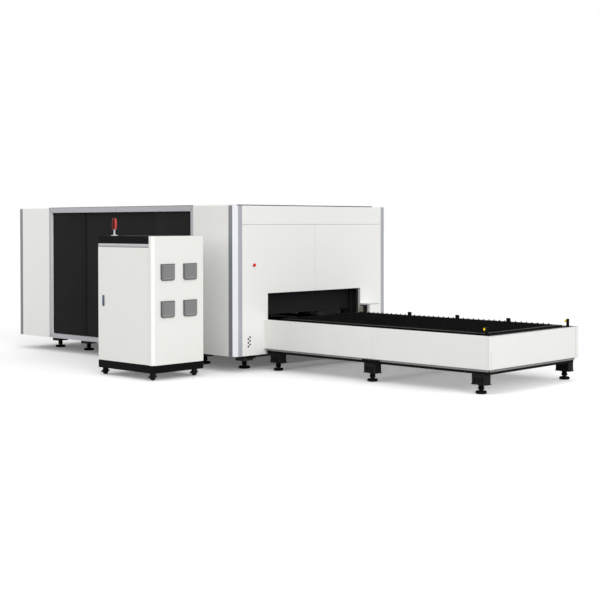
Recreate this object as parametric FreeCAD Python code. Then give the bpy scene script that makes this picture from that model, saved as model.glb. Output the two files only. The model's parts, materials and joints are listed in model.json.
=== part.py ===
import FreeCAD, Part
import math
import os
from FreeCAD import Vector

# Fiber laser cutting machine for flat sheet: an enclosed cutting cell with a window wall, a two-level
# pallet exchange table at its open end, and a control cabinet on casters that stands in front.
#
# Lengths are millimetres. The shapes are laid out from the machine's own datum: x = 0 is the outer face
# of the end wall that the table meets, y = 0 is the outer face of the long window wall, z = 0 is the
# floor. +x runs out along the table, +y runs away from the window wall, +z is up. On export everything
# is shifted so that the origin lies on the floor under the middle of the whole machine.

# ---------------------------------------------------------------------------------------------------
# Driving dimensions
# ---------------------------------------------------------------------------------------------------

# Sheet metal and running gaps
sheet = 3.0
seam = 3.0
running_gap = 0.5
slide_gap = 2.0

# Cutting cell
cell_length = 4898.0
cell_depth = 3010.0
cell_height = 2142.0
cell_bottom = 203.0
wall_fold = 30.0
end_fold = 42.0
corner_chamfer = 52.0
corner_strip = 72.0
corner_wall = 20.0
roof_thickness = 12.0
roof_inset = 30.0
roof_far_inset = 290.0
fascia_height = 243.0

# Window wall
window_from_end = 806.0
window_width = 3270.0
frame_face = 52.0
frame_head = 67.0
frame_sill = 65.0
frame_depth = 60.0
frame_rise = 8.0
pane_recess = 40.0
pane_thickness = 20.0
door_gap = 6.0
door_overlap = 25.0
meeting_gap = 4.0
door_pull_inset = 60.0
door_pull_size = 16.0
door_pull_length = 320.0
door_pull_height = 1100.0
door_pull_reach = 30.0
track_width = 32.0
track_height = 40.0
track_wall = 4.0
track_slot = 12.0
track_drop = 12.0
hanger_length = 90.0
hanger_inset = 120.0

# End wall, its opening and the lift shutter behind it
end_seam_y = 1493.0
opening_near_set_in = 65.0
opening_far_reach = 38.0
opening_top = 996.0
stop_button_y = 335.0
stop_button_z = 1372.0
stop_button_radius = 19.0
stop_button_reach = 26.0
stop_stem_radius = 10.0
stop_stroke = 5.0
socket_radius = 8.5
socket_pitch = 48.0
socket_column_y = 260.0
socket_top_z = 442.0
socket_stagger_y = 30.0
socket_stagger_z = 23.0
socket_rows = 3
shutter_setback = 207.0
shutter_thickness = 12.0
shutter_bottom = 696.0
shutter_height = 344.0
shutter_travel = 320.0
shutter_post_width = 120.0
shutter_post_depth = 60.0
shutter_post_top = 1400.0
shutter_edge_grip = 18.0
shutter_notch_gap = 8.0

# Rear wall
spigot_radius = 125.0
spigot_length = 80.0
spigot_from_left = 900.0
spigot_z = 600.0

# Bed, rails and gantry
pallet_centre_y = 1459.0
bed_half_spacing = 1009.0
bed_side_width = 140.0
bed_top = 900.0
bed_bottom = 142.0
bed_from_left = 338.0
bed_right = 220.0
bed_chord = 120.0
bed_bays = 5
bed_tie_width = 140.0
bed_tie_height = 90.0
bed_ties = 4
foot_from_end = (305.0, 1080.0, 3700.0, 4433.0)
foot_plate_length = 150.0
foot_plate_width = 180.0
foot_plate_thickness = 37.0
bed_pad_radius = 70.0
table_pad_radius = 65.0
pad_height = 20.0
foot_stem_radius = 28.0
rail_width = 34.0
rail_height = 30.0
rail_end_inset = 40.0
rack_size = 25.0
rack_drop = 15.0
gantry_from_left = 658.0
gantry_travel = 3600.0
beam_width = 260.0
beam_bottom = 960.0
beam_height = 240.0
beam_wall = 12.0
beam_overhang = 100.0
beam_plate = 16.0
beam_plate_length = 400.0
block_length = 100.0
block_width = 70.0
block_spacing = 260.0
block_overlap = 18.0
drive_box_size = 110.0
drive_motor_size = 96.0
drive_motor_height = 220.0
cross_rail_width = 26.0
cross_rail_height = 20.0
cross_rail_inset = 45.0
cross_park_inset = 355.0
cross_travel = 1500.0
carriage_width = 300.0
carriage_plate = 20.0
carriage_rise = 40.0
z_slide_width = 170.0
z_slide_plate = 20.0
z_slide_bottom = 985.0
z_slide_top = 1420.0
z_rail_width = 20.0
z_rail_height = 14.0
z_motor_size = 90.0
z_motor_height = 160.0
head_radius = 42.0
head_bottom = 935.0
head_top = 1300.0
head_block_rise = 90.0
head_block_height = 150.0
nozzle_tip = 865.0
nozzle_tip_radius = 7.0
nozzle_root_radius = 24.0
head_travel = 155.0
scrap_tray_rim = 60.0

# Exchange table
table_length = 3548.0
table_side_gap = 1.0
skirt_top = 654.0
skirt_bottom = 278.0
skirt_fold = 25.0
skirt_seam_x = 1841.0
ledge_height = 26.0
ledge_thickness = 8.0
table_plate = 12.0
splice_length = 290.0
splice_thickness = 12.0
splice_proud = 6.0
table_plate_top = 642.0
table_beam = 60.0
table_beam_height = 56.0
table_set_in = 25.0
table_notch = 48.0
ledge_corner_gap = 6.0
table_cover = 6.0
table_cover_length = 128.0
leg_x = (193.0, 1794.0, 3385.0)
leg_foot_inset = 65.0
leg_length = 178.0
leg_width = 110.0
leg_height = 110.0
leg_flange = 10.0
leg_flange_reach = 12.0
leg_slot_width = 22.0
leg_slot_height = 62.0
leg_slot_depth = 14.0
leg_slot_spacing = 46.0
drive_shaft_x = 110.0
drive_shaft_z = 335.0
drive_shaft_radius = 15.0
drive_shaft_fit = 0.08
sprocket_radius = 42.0
sprocket_width = 14.0
sprocket_teeth = 10
sprocket_tooth_depth = 6.0
chain_gap = 0.6
chain_thickness = 10.0
chain_width = 16.0
chain_set_in = 16.0
chain_reach = 3320.0
chain_end_steps = 6
cover_box_depth = 180.0
cover_box_gap = 33.0
cover_box_width = 210.0
cover_box_top = 778.0
motor_x = 43.0
motor_overhang = 2.0
motor_z = 697.0
motor_size = 62.0
motor_length = 96.0
motor_bracket = 12.0
motor_bracket_top = 761.0
sensor_from_end = 98.0
sensor_near_inset = 54.0
sensor_far_inset = 72.0
sensor_post = 28.0
sensor_height = 97.0
sensor_eye_radius = 14.0
sensor_eye_length = 22.0
sensor_eye_drop = 25.0

# Pallets
pallet_length = 3240.0
pallet_width = 1628.0
pallet_from_wall = 150.0
pallet_beam = 60.0
pallet_beam_height = 90.0
pallet_travel = 3650.0
slat_tip = 690.0
slat_height = 93.0
slat_thickness = 6.0
slat_pitch = 80.0
tooth_pitch = 500.0
tooth_depth = 26.0
slat_ledge = 10.0
level_step = 150.0
wheel_radius = 35.0
wheel_width = 20.0
wheel_axle_radius = 10.0
wheel_gap = 13.0
wheel_end_inset = 420.0
beam_under_tip = 22.0
track_thickness = 6.0
track_depth = 40.0
track_clear = 5.0
track_end_gap = 30.0
track_tongue = 46.0
track_joint = 5.0
stop_count = 3
stop_pitch = 792.0
stop_from_end = 896.0
stop_length = 46.0
stop_width = 28.0
stop_rise = 24.0

# Control cabinet
cabinet_right = 142.0
cabinet_width = 1081.0
cabinet_front = 1234.0
cabinet_depth = 814.0
cabinet_height = 1757.0
cabinet_floor = 183.0
plinth_bottom = 88.0
cabinet_wall = 12.0
flange_width = 43.0
flange_chamfer = 33.0
band_height = 96.0
trim_height = 42.0
trim_proud = 4.0
cabinet_door_thickness = 25.0
cabinet_swing = 110.0
lever_from_edge = 109.0
lever_width = 34.0
lever_length = 136.0
lever_top = 1008.0
lever_thickness = 12.0
lever_hub_radius = 9.0
lever_fit = 0.08
filter_width = 215.0
filter_height = 213.0
filter_proud = 30.0
filter_chamfer = 12.0
filter_first_y = 121.0
filter_pitch_y = 362.0
filter_top_z = 1417.0
filter_pitch_z = 454.0
louvre_count = 4
louvre_depth = 8.0
louvre_height = 14.0
rack_plate = 10.0
rack_plate_setback = 60.0
laser_box_depth = 360.0
laser_box_height = 220.0
rack_drive_width = 90.0
rack_drive_pitch = 130.0
rack_drive_depth = 180.0
rack_drive_height = 270.0
rack_drive_rise = 967.0
rack_drive_count = 6
breaker_row_inset = 40.0
breaker_row_depth = 70.0
breaker_row_height = 90.0
breaker_row_rise = 637.0
lamp_from_left = 173.0
lamp_from_front = 124.0
lamp_base_radius = 44.0
lamp_base_height = 9.0
lamp_pole_radius = 11.0
lamp_pole_top = 1838.0
lamp_lens_radius = 33.0
lamp_lens_foot_radius = 26.0
lamp_lens_top_radius = 25.0
lamp_lens_height = 142.0
lamp_lens_belly = 0.45
caster_inset_x = 72.0
caster_inset_y = 72.0
caster_wheel_radius = 36.0
caster_wheel_width = 36.0
caster_axle_radius = 5.0
caster_axle_fit = 0.08
caster_trail = 17.0
caster_plate = 70.0
caster_plate_thickness = 4.0
caster_crown = 58.0
caster_cheek = 4.0
caster_side_gap = 1.5
caster_pin_radius = 6.0
caster_pin_fit = 0.08
caster_pin_length = 7.0

# ---------------------------------------------------------------------------------------------------
# Places that follow from them
# ---------------------------------------------------------------------------------------------------

corner_leg = corner_chamfer + corner_strip
fascia_bottom = cell_height - fascia_height
window_right_x = -window_from_end
window_left_x = window_right_x - window_width
clear_left_x = window_left_x + frame_face
clear_right_x = window_right_x - frame_face
window_middle_x = (clear_left_x + clear_right_x) / 2
quarter = (clear_right_x - clear_left_x) / 4
sill_z = cell_bottom + frame_sill
head_z = cell_height - frame_head
door_front_y = pane_recess + pane_thickness + door_gap
door_back_y = door_front_y + pane_thickness
door_top_z = head_z - track_drop / 2
door_bottom_z = sill_z + slide_gap
door_travel = quarter - door_pull_inset - meeting_gap / 2 - door_pull_size / 2 - slide_gap
track_centre_y = (door_front_y + door_back_y) / 2
track_bottom_z = head_z + track_drop

bed_left = cell_length - bed_from_left
gantry_park = cell_length - gantry_from_left
bed_near_y = pallet_centre_y - bed_half_spacing
bed_far_y = pallet_centre_y + bed_half_spacing
bed_inner_near = bed_near_y + bed_side_width / 2
bed_tie_top = bed_bottom + bed_tie_height
bed_inner_far = bed_far_y - bed_side_width / 2
beam_near_y = bed_near_y - beam_overhang
cross_park_y = beam_near_y + cross_park_inset
beam_far_y = bed_far_y + beam_overhang
beam_left_x = -gantry_park - beam_width / 2
beam_right_x = -gantry_park + beam_width / 2
carriage_x = beam_right_x + cross_rail_height + running_gap
z_rail_x = carriage_x + carriage_plate
z_slide_x = z_rail_x + z_rail_height + running_gap
head_x = z_slide_x + z_slide_plate + head_radius

table_near = bed_inner_near + table_side_gap
table_far = bed_inner_far - table_side_gap
frame_near = table_near + skirt_fold
frame_far = table_far - skirt_fold
opening_near = table_near + opening_near_set_in
opening_far = table_far + opening_far_reach
cover_box_near = table_far + cover_box_gap
cover_box_far = cover_box_near + cover_box_width
motor_y = frame_far + motor_overhang
sensor_x = table_length - sensor_from_end
sensor_near = frame_near + sensor_near_inset
sensor_far = frame_far - sensor_far_inset
pallet_near = pallet_centre_y - pallet_width / 2
pallet_far = pallet_centre_y + pallet_width / 2
stop_y = pallet_far - pallet_beam / 2
pallet_top = slat_tip - beam_under_tip
pallet_bottom = pallet_top - pallet_beam_height
wheel_axis_z = pallet_bottom + wheel_radius - track_clear
track_top = wheel_axis_z - wheel_radius - running_gap
track_lip_near = pallet_near - track_clear
track_lip_far = pallet_far + track_clear
leg_near_y = table_near + leg_foot_inset
leg_far_y = table_far - leg_foot_inset
table_beam_bottom = skirt_bottom - table_beam_height
leg_bottom = table_beam_bottom - leg_height - leg_flange

cabinet_right_x = -cabinet_right
cabinet_left_x = cabinet_right_x - cabinet_width
cabinet_front_y = -cabinet_front
cabinet_back_y = cabinet_front_y + cabinet_depth
flange_left_x = cabinet_right_x - flange_chamfer - flange_width
band_bottom_z = cabinet_height - band_height
trim_bottom_z = band_bottom_z - trim_height
door_hinge_x = flange_left_x - seam / 2
lever_pivot_x = cabinet_left_x + lever_from_edge
lever_pivot_z = lever_top - lever_width / 2
lamp_x = cabinet_left_x + lamp_from_left
lamp_y = cabinet_front_y + lamp_from_front

# The whole machine's box gives the shift that puts the origin under its middle.
box_left = -cell_length
box_right = table_length
box_front = cabinet_front_y - lever_thickness
box_rear = cell_depth + spigot_length
origin = Vector((box_left + box_right) / 2, (box_front + box_rear) / 2, 0)


# ---------------------------------------------------------------------------------------------------
# Shared forms
# ---------------------------------------------------------------------------------------------------

X_AXIS = Vector(1, 0, 0)
Y_AXIS = Vector(0, 1, 0)
Z_AXIS = Vector(0, 0, 1)


def box(x0, x1, y0, y1, z0, z1):
    """A block between two values along each axis."""
    return Part.makeBox(x1 - x0, y1 - y0, z1 - z0, Vector(x0, y0, z0))


def round_bar(radius, start, end):
    """A solid cylinder from start to end."""
    along = end - start
    return Part.makeCylinder(radius, along.Length, start, along)


def ring(radius, centre, along, sides):
    """Corners of a regular outline square to a main axis, the first one straight down or along x."""
    first = X_AXIS if abs(along.z) > 0 else Z_AXIS * -1
    second = X_AXIS if abs(along.y) > 0 else Y_AXIS
    turns = [2 * math.pi * k / sides for k in range(sides)]
    return [centre + first * (radius * math.cos(a)) + second * (radius * math.sin(a)) for a in turns]


def facet_bar(radius, start, end, sides=12):
    """A many-sided bar for a small round piece, with its edges on the radius."""
    along = end - start
    return prism(ring(radius, start, along, sides), along)


def stacked(rings):
    """A solid with flat faces between outlines of equally many corners, one after another."""
    faces = [Part.Face(Part.makePolygon(r + r[:1])) for r in (rings[0], rings[-1])]
    for low, high in zip(rings, rings[1:]):
        for k in range(len(low)):
            n = (k + 1) % len(low)
            faces.append(Part.Face(Part.makePolygon([low[k], low[n], high[n], high[k], low[k]])))
    solid = Part.makeSolid(Part.makeShell(faces))
    if solid.Volume < 0:
        solid.reverse()
    return solid


def facet_turning(stations, start, along, sides):
    """A many-sided turned form: stations are (distance, radius) pairs from the start."""
    return stacked([ring(radius, start + along * distance, along, sides) for distance, radius in stations])


def prism(points, along):
    """A flat outline of straight edges, extruded along a vector."""
    wire = Part.makePolygon(points + [points[0]])
    return Part.Face(wire).extrude(along)


def join(shapes):
    """Welds shapes that touch or overlap into one solid with clean faces."""
    first, rest = shapes[0], shapes[1:]
    return first.fuse(rest).removeSplitter()


def group(shapes):
    """Separate solids kept together as one node."""
    return Part.makeCompound(shapes)


def front_tray(x0, x1, y0, y1, z0, z1, inward):
    """A sheet folded along its four edges, whose face looks along y; inward is +1 or -1, the way its
    returns point."""
    face_cut = (y0 + sheet, y1 + sheet) if inward > 0 else (y0 - sheet, y1 - sheet)
    hollow = box(x0 + sheet, x1 - sheet, face_cut[0], face_cut[1], z0 + sheet, z1 - sheet)
    return box(x0, x1, y0, y1, z0, z1).cut(hollow)


def side_tray(x0, x1, y0, y1, z0, z1, inward):
    """The same folded sheet with its face looking along x."""
    face_cut = (x0 + sheet, x1 + sheet) if inward > 0 else (x0 - sheet, x1 - sheet)
    hollow = box(face_cut[0], face_cut[1], y0 + sheet, y1 - sheet, z0 + sheet, z1 - sheet)
    return box(x0, x1, y0, y1, z0, z1).cut(hollow)


# ---------------------------------------------------------------------------------------------------
# Cutting cell
# ---------------------------------------------------------------------------------------------------

def corner_profiles():
    """Four upright extrusions: two flat strips with a 45 degree facet between them."""
    inner = corner_chamfer + corner_wall * (math.sqrt(2) - 1)
    outline = [
        (corner_leg, 0), (corner_chamfer, 0), (0, corner_chamfer), (0, corner_leg),
        (corner_wall, corner_leg), (corner_wall, inner), (inner, corner_wall), (corner_leg, corner_wall),
    ]
    posts = []
    for from_right in (True, False):
        for from_front in (True, False):
            points = [
                Vector(-u if from_right else u - cell_length, v if from_front else cell_depth - v, cell_bottom)
                for u, v in outline
            ]
            posts.append(prism(points, Z_AXIS * (cell_height - cell_bottom)))
    return group(posts)


def front_panels():
    """The plain folded panels on both sides of the window."""
    return group([
        front_tray(x0, x1, 0, wall_fold, cell_bottom, cell_height, 1)
        for x0, x1 in ((-cell_length + corner_leg, window_left_x), (window_right_x, -corner_leg))
    ])


def window_frame():
    """Four lengths of frame section, mitred at the corners."""
    top = cell_height + frame_rise
    outer = [(window_left_x, cell_bottom), (window_right_x, cell_bottom),
             (window_right_x, top), (window_left_x, top)]
    inner = [(clear_left_x, sill_z), (clear_right_x, sill_z), (clear_right_x, head_z), (clear_left_x, head_z)]
    rails = []
    for k in range(4):
        n = (k + 1) % 4
        corners = [outer[k], outer[n], inner[n], inner[k]]
        rails.append(prism([Vector(x, 0, z) for x, z in corners], Y_AXIS * frame_depth))
    return group(rails)


def fixed_panes():
    """The two dark outer panes, which do not move."""
    return group([
        box(x0, x0 + quarter, pane_recess, pane_recess + pane_thickness, sill_z, head_z)
        for x0 in (clear_left_x, clear_right_x - quarter)
    ])


def sliding_door(side):
    """One dark inner leaf, hung from the track; side is -1 for the left leaf and +1 for the right one."""
    meeting_x = window_middle_x + side * meeting_gap / 2
    outer_x = window_middle_x + side * (quarter + door_overlap)
    x0, x1 = sorted((meeting_x, outer_x))
    leaf = box(x0, x1, door_front_y, door_back_y, door_bottom_z, door_top_z)
    pocket = box(x0 + 4 * sheet, x1 - 4 * sheet, door_front_y + sheet, door_back_y,
                 door_bottom_z + 4 * sheet, door_top_z - 4 * sheet)
    parts = [leaf.cut(pocket)]

    pull_x = meeting_x + side * door_pull_inset
    half = door_pull_size / 2
    front = door_front_y - door_pull_reach
    z0 = door_pull_height - door_pull_length / 2
    z1 = door_pull_height + door_pull_length / 2
    parts.append(box(pull_x - half, pull_x + half, front, front + half, z0, z1))
    for z in (z0, z1 - door_pull_size):
        parts.append(box(pull_x - half, pull_x + half, front, door_front_y, z, z + door_pull_size))

    inner_top = track_bottom_z + track_height - track_wall
    for x in (x0 + hanger_inset, x1 - hanger_inset):
        neck_half = track_slot / 2 - slide_gap
        parts.append(box(x - hanger_length / 2, x + hanger_length / 2, track_centre_y - neck_half,
                         track_centre_y + neck_half, door_top_z, track_bottom_z + 2 * track_wall))
        shoe_half = track_width / 2 - track_wall - slide_gap
        parts.append(box(x - hanger_length / 2, x + hanger_length / 2, track_centre_y - shoe_half,
                         track_centre_y + shoe_half, track_bottom_z + track_wall + running_gap,
                         inner_top - slide_gap))
    return join(parts)


def door_track():
    """A lipped channel behind the window head that both leaves hang from."""
    reach = quarter + door_overlap + door_travel + slide_gap * 5
    x0 = window_middle_x - reach
    half = track_width / 2
    slot = track_slot / 2
    y, z = track_centre_y, track_bottom_z
    top = z + track_height
    section = [
        (y - half, z), (y - slot, z), (y - slot, z + track_wall), (y - half + track_wall, z + track_wall),
        (y - half + track_wall, top - track_wall), (y + half - track_wall, top - track_wall),
        (y + half - track_wall, z + track_wall), (y + slot, z + track_wall), (y + slot, z),
        (y + half, z), (y + half, top), (y - half, top),
    ]
    return prism([Vector(x0, v, w) for v, w in section], X_AXIS * (2 * reach))


def end_fascia():
    return side_tray(-end_fold, 0, corner_leg, cell_depth - corner_leg, fascia_bottom, cell_height, -1)


def end_panel(near):
    """Half of the end wall, cut away in an L round the pallet opening."""
    top = fascia_bottom - seam
    if near:
        wide = (corner_leg, end_seam_y)
        leg = (corner_leg, opening_near)
    else:
        wide = (end_seam_y + seam, cell_depth - corner_leg)
        leg = (opening_far, cell_depth - corner_leg)
    outer = join([
        box(-end_fold, 0, wide[0], wide[1], opening_top, top),
        box(-end_fold, 0, leg[0], leg[1], cell_bottom, top),
    ])
    inner = join([
        box(-end_fold, -sheet, wide[0] + sheet, wide[1] - sheet, opening_top + sheet, top - sheet),
        box(-end_fold, -sheet, leg[0] + sheet, leg[1] - sheet, cell_bottom + sheet, top - sheet),
    ])
    return outer.cut(inner)


def end_panel_near():
    """The near half also carries the stop button and the cable sockets' six holes."""
    panel = end_panel(True)
    hole_radius = (stop_stem_radius + running_gap) / math.cos(math.pi / 12)
    holes = [facet_bar(hole_radius, Vector(-end_fold, stop_button_y, stop_button_z),
                       Vector(sheet, stop_button_y, stop_button_z), 12)]
    for row in range(socket_rows):
        for column in range(2):
            y = socket_column_y - column * socket_stagger_y
            z = socket_top_z - row * socket_pitch - column * socket_stagger_z
            holes.append(facet_bar(socket_radius, Vector(-2 * sheet, y, z), Vector(sheet, y, z), 8))
    return panel.cut(group(holes))


def end_panel_far():
    return end_panel(False)


def stop_button():
    """Mushroom head and stem of the emergency stop."""
    reach, radius = stop_button_reach, stop_button_radius
    stations = [(0, radius * 0.8), (reach * 0.4, radius), (reach * 0.65, radius * 0.84), (reach, radius * 0.4)]
    back = Vector(stop_stroke + 1, stop_button_y, stop_button_z)
    head = facet_turning([(d * (1 - (stop_stroke + 1) / reach), r) for d, r in stations], back, X_AXIS, 20)
    stem = facet_bar(stop_stem_radius, back - X_AXIS * (sheet * 8), back, 12)
    return join([stem, head])


def shutter_posts():
    """Two upright channels on the bed's end, behind the opening, that guide the shutter."""
    x0, x1 = -bed_right, -bed_right + shutter_post_depth
    posts = []
    for y_in, inward in ((bed_inner_near, 1), (bed_inner_far, -1)):
        y_out = y_in - inward * shutter_post_width
        y0, y1 = sorted((y_in, y_out))
        post = box(x0, x1, y0, y1, bed_bottom, shutter_post_top)
        g0, g1 = sorted((y_in, y_in - inward * (shutter_edge_grip + slide_gap)))
        slot_half = shutter_thickness / 2 + slide_gap
        groove = box(-shutter_setback - slot_half, -shutter_setback + slot_half, g0, g1,
                     shutter_bottom - slide_gap, shutter_post_top)
        posts.append(post.cut(groove))
    return group(posts)


def exchange_shutter():
    """Stiffened black plate that closes the opening above the pallet and lifts out of the way. A notch in
    its lower edge clears the pallet's sheet stops."""
    y0, y1 = bed_inner_near - shutter_edge_grip, bed_inner_far + shutter_edge_grip
    x0 = -shutter_setback - shutter_thickness / 2
    plate = box(x0, x0 + shutter_thickness, y0, y1, shutter_bottom, shutter_bottom + shutter_height)
    grip = shutter_edge_grip + slide_gap
    notch_half, notch_top = stop_width / 2 + shutter_notch_gap, slat_tip + stop_rise + shutter_notch_gap
    notch = box(x0 - 1, x0 + shutter_thickness + 1, stop_y - notch_half, stop_y + notch_half,
                shutter_bottom - 1, notch_top)
    pocket = box(x0, x0 + shutter_thickness - sheet, y0 + grip + sheet, y1 - grip - sheet,
                 notch_top + 4 * sheet, shutter_bottom + shutter_height - 4 * sheet)
    return plate.cut(pocket).cut(notch)


def left_end_wall():
    """The closed end: the same fascia over two plain panels."""
    x0, x1 = -cell_length, -cell_length + wall_fold
    far = cell_depth - corner_leg
    top = fascia_bottom - seam
    return group([
        side_tray(x0, x1, corner_leg, far, fascia_bottom, cell_height, 1),
        side_tray(x0, x1, corner_leg, end_seam_y, cell_bottom, top, 1),
        side_tray(x0, x1, end_seam_y + seam, far, cell_bottom, top, 1),
    ])


def rear_panels():
    """Three plain panels; the left one carries the round spigot for the fume duct."""
    left, right = -cell_length + corner_leg, -corner_leg
    y0, y1 = cell_depth - wall_fold, cell_depth
    width = (right - left - 2 * seam) / 3
    panels = []
    for k in range(3):
        x0 = left + k * (width + seam)
        panels.append(front_tray(x0, x0 + width, y0, y1, cell_bottom, cell_height, -1))
    centre = Vector(-cell_length + spigot_from_left, 0, spigot_z)
    tube = round_bar(spigot_radius, centre + Y_AXIS * (cell_depth - sheet), centre + Y_AXIS * box_rear)
    bore = round_bar(spigot_radius - sheet, centre + Y_AXIS * y0, centre + Y_AXIS * (box_rear + sheet))
    panels[0] = panels[0].fuse(tube).cut(bore).removeSplitter()
    return group(panels)


def roof_panels():
    """Two raised roof sheets that meet above the middle of the window, a low one at the left and a low
    strip along the back."""
    z0, z1 = cell_height, cell_height + roof_thickness
    near, far = corner_wall, cell_depth - roof_far_inset
    left, right = -cell_length + roof_inset, -roof_inset
    return group([
        box(left, window_left_x - seam, near, far, z0, z0 + sheet),
        box(window_left_x, window_middle_x - seam, frame_depth, far, z0, z1),
        join([
            box(window_middle_x, right, frame_depth, far, z0, z1),
            box(window_right_x, right, near, frame_depth, z0, z1),
        ]),
        box(left, right, far + seam, cell_depth - roof_inset, z0, z0 + sheet),
    ])


# ---------------------------------------------------------------------------------------------------
# Bed, gantry and cutting head
# ---------------------------------------------------------------------------------------------------

def bed_frame():
    """Two side frames of chords and posts, tied across the bottom, with a plate over each foot."""
    x0, x1 = -bed_left, -bed_right
    bay = (x1 - x0 - bed_chord) / bed_bays
    parts = []
    for centre in (bed_near_y, bed_far_y):
        y0, y1 = centre - bed_side_width / 2, centre + bed_side_width / 2
        parts.append(box(x0, x1, y0, y1, bed_bottom, bed_bottom + bed_chord))
        parts.append(box(x0, x1, y0, y1, bed_top - bed_chord, bed_top))
        for k in range(bed_bays + 1):
            p0 = x0 + k * bay
            parts.append(box(p0, p0 + bed_chord, y0, y1, bed_bottom + bed_chord, bed_top - bed_chord))
        for foot in foot_from_end:
            parts.append(box(-foot - foot_plate_length / 2, -foot + foot_plate_length / 2,
                             centre - foot_plate_width / 2, centre + foot_plate_width / 2,
                             bed_bottom - foot_plate_thickness, bed_bottom))
    tie_step = (x1 - x0 - bed_tie_width) / (bed_ties - 1)
    for k in range(bed_ties):
        t0 = x0 + k * tie_step
        parts.append(box(t0, t0 + bed_tie_width, bed_inner_near, bed_inner_far, bed_bottom, bed_tie_top))
    return group(parts)


def guide_rails():
    """The two long linear rails on the bed and the racks beside them."""
    x0, x1 = -bed_left + rail_end_inset, -bed_right - rail_end_inset
    bars = []
    for centre, outward in ((bed_near_y, -1), (bed_far_y, 1)):
        bars.append(box(x0, x1, centre - rail_width / 2, centre + rail_width / 2, bed_top, bed_top + rail_height))
        edge = centre + outward * bed_side_width / 2
        r0, r1 = sorted((edge, edge + outward * rack_size))
        bars.append(box(x0, x1, r0, r1, bed_top - rack_drop - rack_size, bed_top - rack_drop))
    return group(bars)


def gantry_beam():
    """Box beam on end plates, with four bearing blocks on the rails below and two rails on its face."""
    parts = [box(beam_left_x, beam_right_x, beam_near_y, beam_far_y, beam_bottom, beam_bottom + beam_height)]
    plate_z0 = beam_bottom - beam_plate
    for centre in (bed_near_y, bed_far_y):
        parts.append(box(-gantry_park - beam_plate_length / 2, -gantry_park + beam_plate_length / 2,
                         centre - bed_side_width / 2, centre + bed_side_width / 2, plate_z0, beam_bottom))
        for side in (-1, 1):
            x = -gantry_park + side * block_spacing / 2
            block = box(x - block_length / 2, x + block_length / 2, centre - block_width / 2,
                        centre + block_width / 2, bed_top + rail_height - block_overlap, plate_z0)
            channel = box(x - block_length, x + block_length, centre - rail_width / 2 - running_gap,
                          centre + rail_width / 2 + running_gap, bed_top, bed_top + rail_height + running_gap)
            parts.append(block.cut(channel))
    for z in (beam_bottom + cross_rail_inset, beam_bottom + beam_height - cross_rail_inset):
        parts.append(box(beam_right_x, beam_right_x + cross_rail_height, beam_near_y + rail_end_inset,
                         beam_far_y - rail_end_inset, z - cross_rail_width / 2, z + cross_rail_width / 2))
    solid = join(parts)
    bore = box(beam_left_x + beam_wall, beam_right_x - beam_wall, beam_near_y, beam_far_y,
               beam_bottom + beam_wall, beam_bottom + beam_height - beam_wall)
    return solid.cut(bore)


def gantry_drives():
    """Gearbox, pinion guard down to the rack and standing servo motor, at each end of the beam."""
    drives = []
    half_box, half_motor = drive_box_size / 2, drive_motor_size / 2
    for centre, outward in ((bed_near_y, -1), (bed_far_y, 1)):
        inner = centre + outward * bed_side_width / 2
        y = inner + outward * (half_box + running_gap)
        x = -gantry_park - beam_width / 2 - half_box
        z0 = beam_bottom
        gearbox = box(x - half_box, x + half_box, y - half_box, y + half_box, z0, z0 + drive_box_size)
        motor = box(x - half_motor, x + half_motor, y - half_motor, y + half_motor,
                    z0 + drive_box_size, z0 + drive_box_size + drive_motor_height)
        shelf_near, shelf_far = sorted((y + outward * half_box, inner - outward * 30))
        shelf = box(x - half_box, x + half_box, shelf_near, shelf_far, z0, z0 + beam_plate / 2)
        guard_near, guard_far = sorted((inner + outward * running_gap, inner + outward * (rack_size + sheet)))
        guard = box(x - half_box + 20, x + half_box - 20, guard_near, guard_far,
                    bed_top - rack_drop + slide_gap, z0)
        drives.append(join([gearbox, motor, shelf, guard]))
    return group(drives)


def cross_carriage():
    """Plate that runs along the beam on four blocks, with an upright rail pair and the height motor."""
    y = cross_park_y
    half = carriage_width / 2
    z0 = beam_bottom - carriage_rise
    z1 = beam_bottom + beam_height + carriage_rise
    parts = [box(carriage_x, z_rail_x, y - half, y + half, z0, z1)]
    for z in (beam_bottom + cross_rail_inset, beam_bottom + beam_height - cross_rail_inset):
        for side in (-1, 1):
            centre = y + side * (half - block_length / 2)
            block = box(beam_right_x + slide_gap, carriage_x, centre - block_length / 2,
                        centre + block_length / 2, z - block_width / 2 + 8, z + block_width / 2 - 8)
            channel = box(beam_right_x, carriage_x, centre - block_length, centre + block_length,
                          z - cross_rail_width / 2 - running_gap, z + cross_rail_width / 2 + running_gap)
            parts.extend(block.cut(channel).Solids)
    for side in (-1, 1):
        rail_y = y + side * (z_slide_width / 2 - z_rail_width)
        parts.append(box(z_rail_x, z_rail_x + z_rail_height, rail_y - z_rail_width / 2,
                         rail_y + z_rail_width / 2, z0, z1))
    half_motor = z_motor_size / 2
    parts.append(box(carriage_x - z_motor_size, z_rail_x, y - half_motor, y + half_motor, z1, z1 + 12))
    parts.append(box(carriage_x - z_motor_size, carriage_x - 10, y - half_motor, y + half_motor,
                     z1 + 12, z1 + 12 + z_motor_height))
    return join(parts)


def z_slide():
    """Plate that carries the head up and down in front of the carriage."""
    y = cross_park_y
    half = z_slide_width / 2
    return box(z_slide_x, z_slide_x + z_slide_plate, y - half, y + half, z_slide_bottom, z_slide_top)


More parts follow.
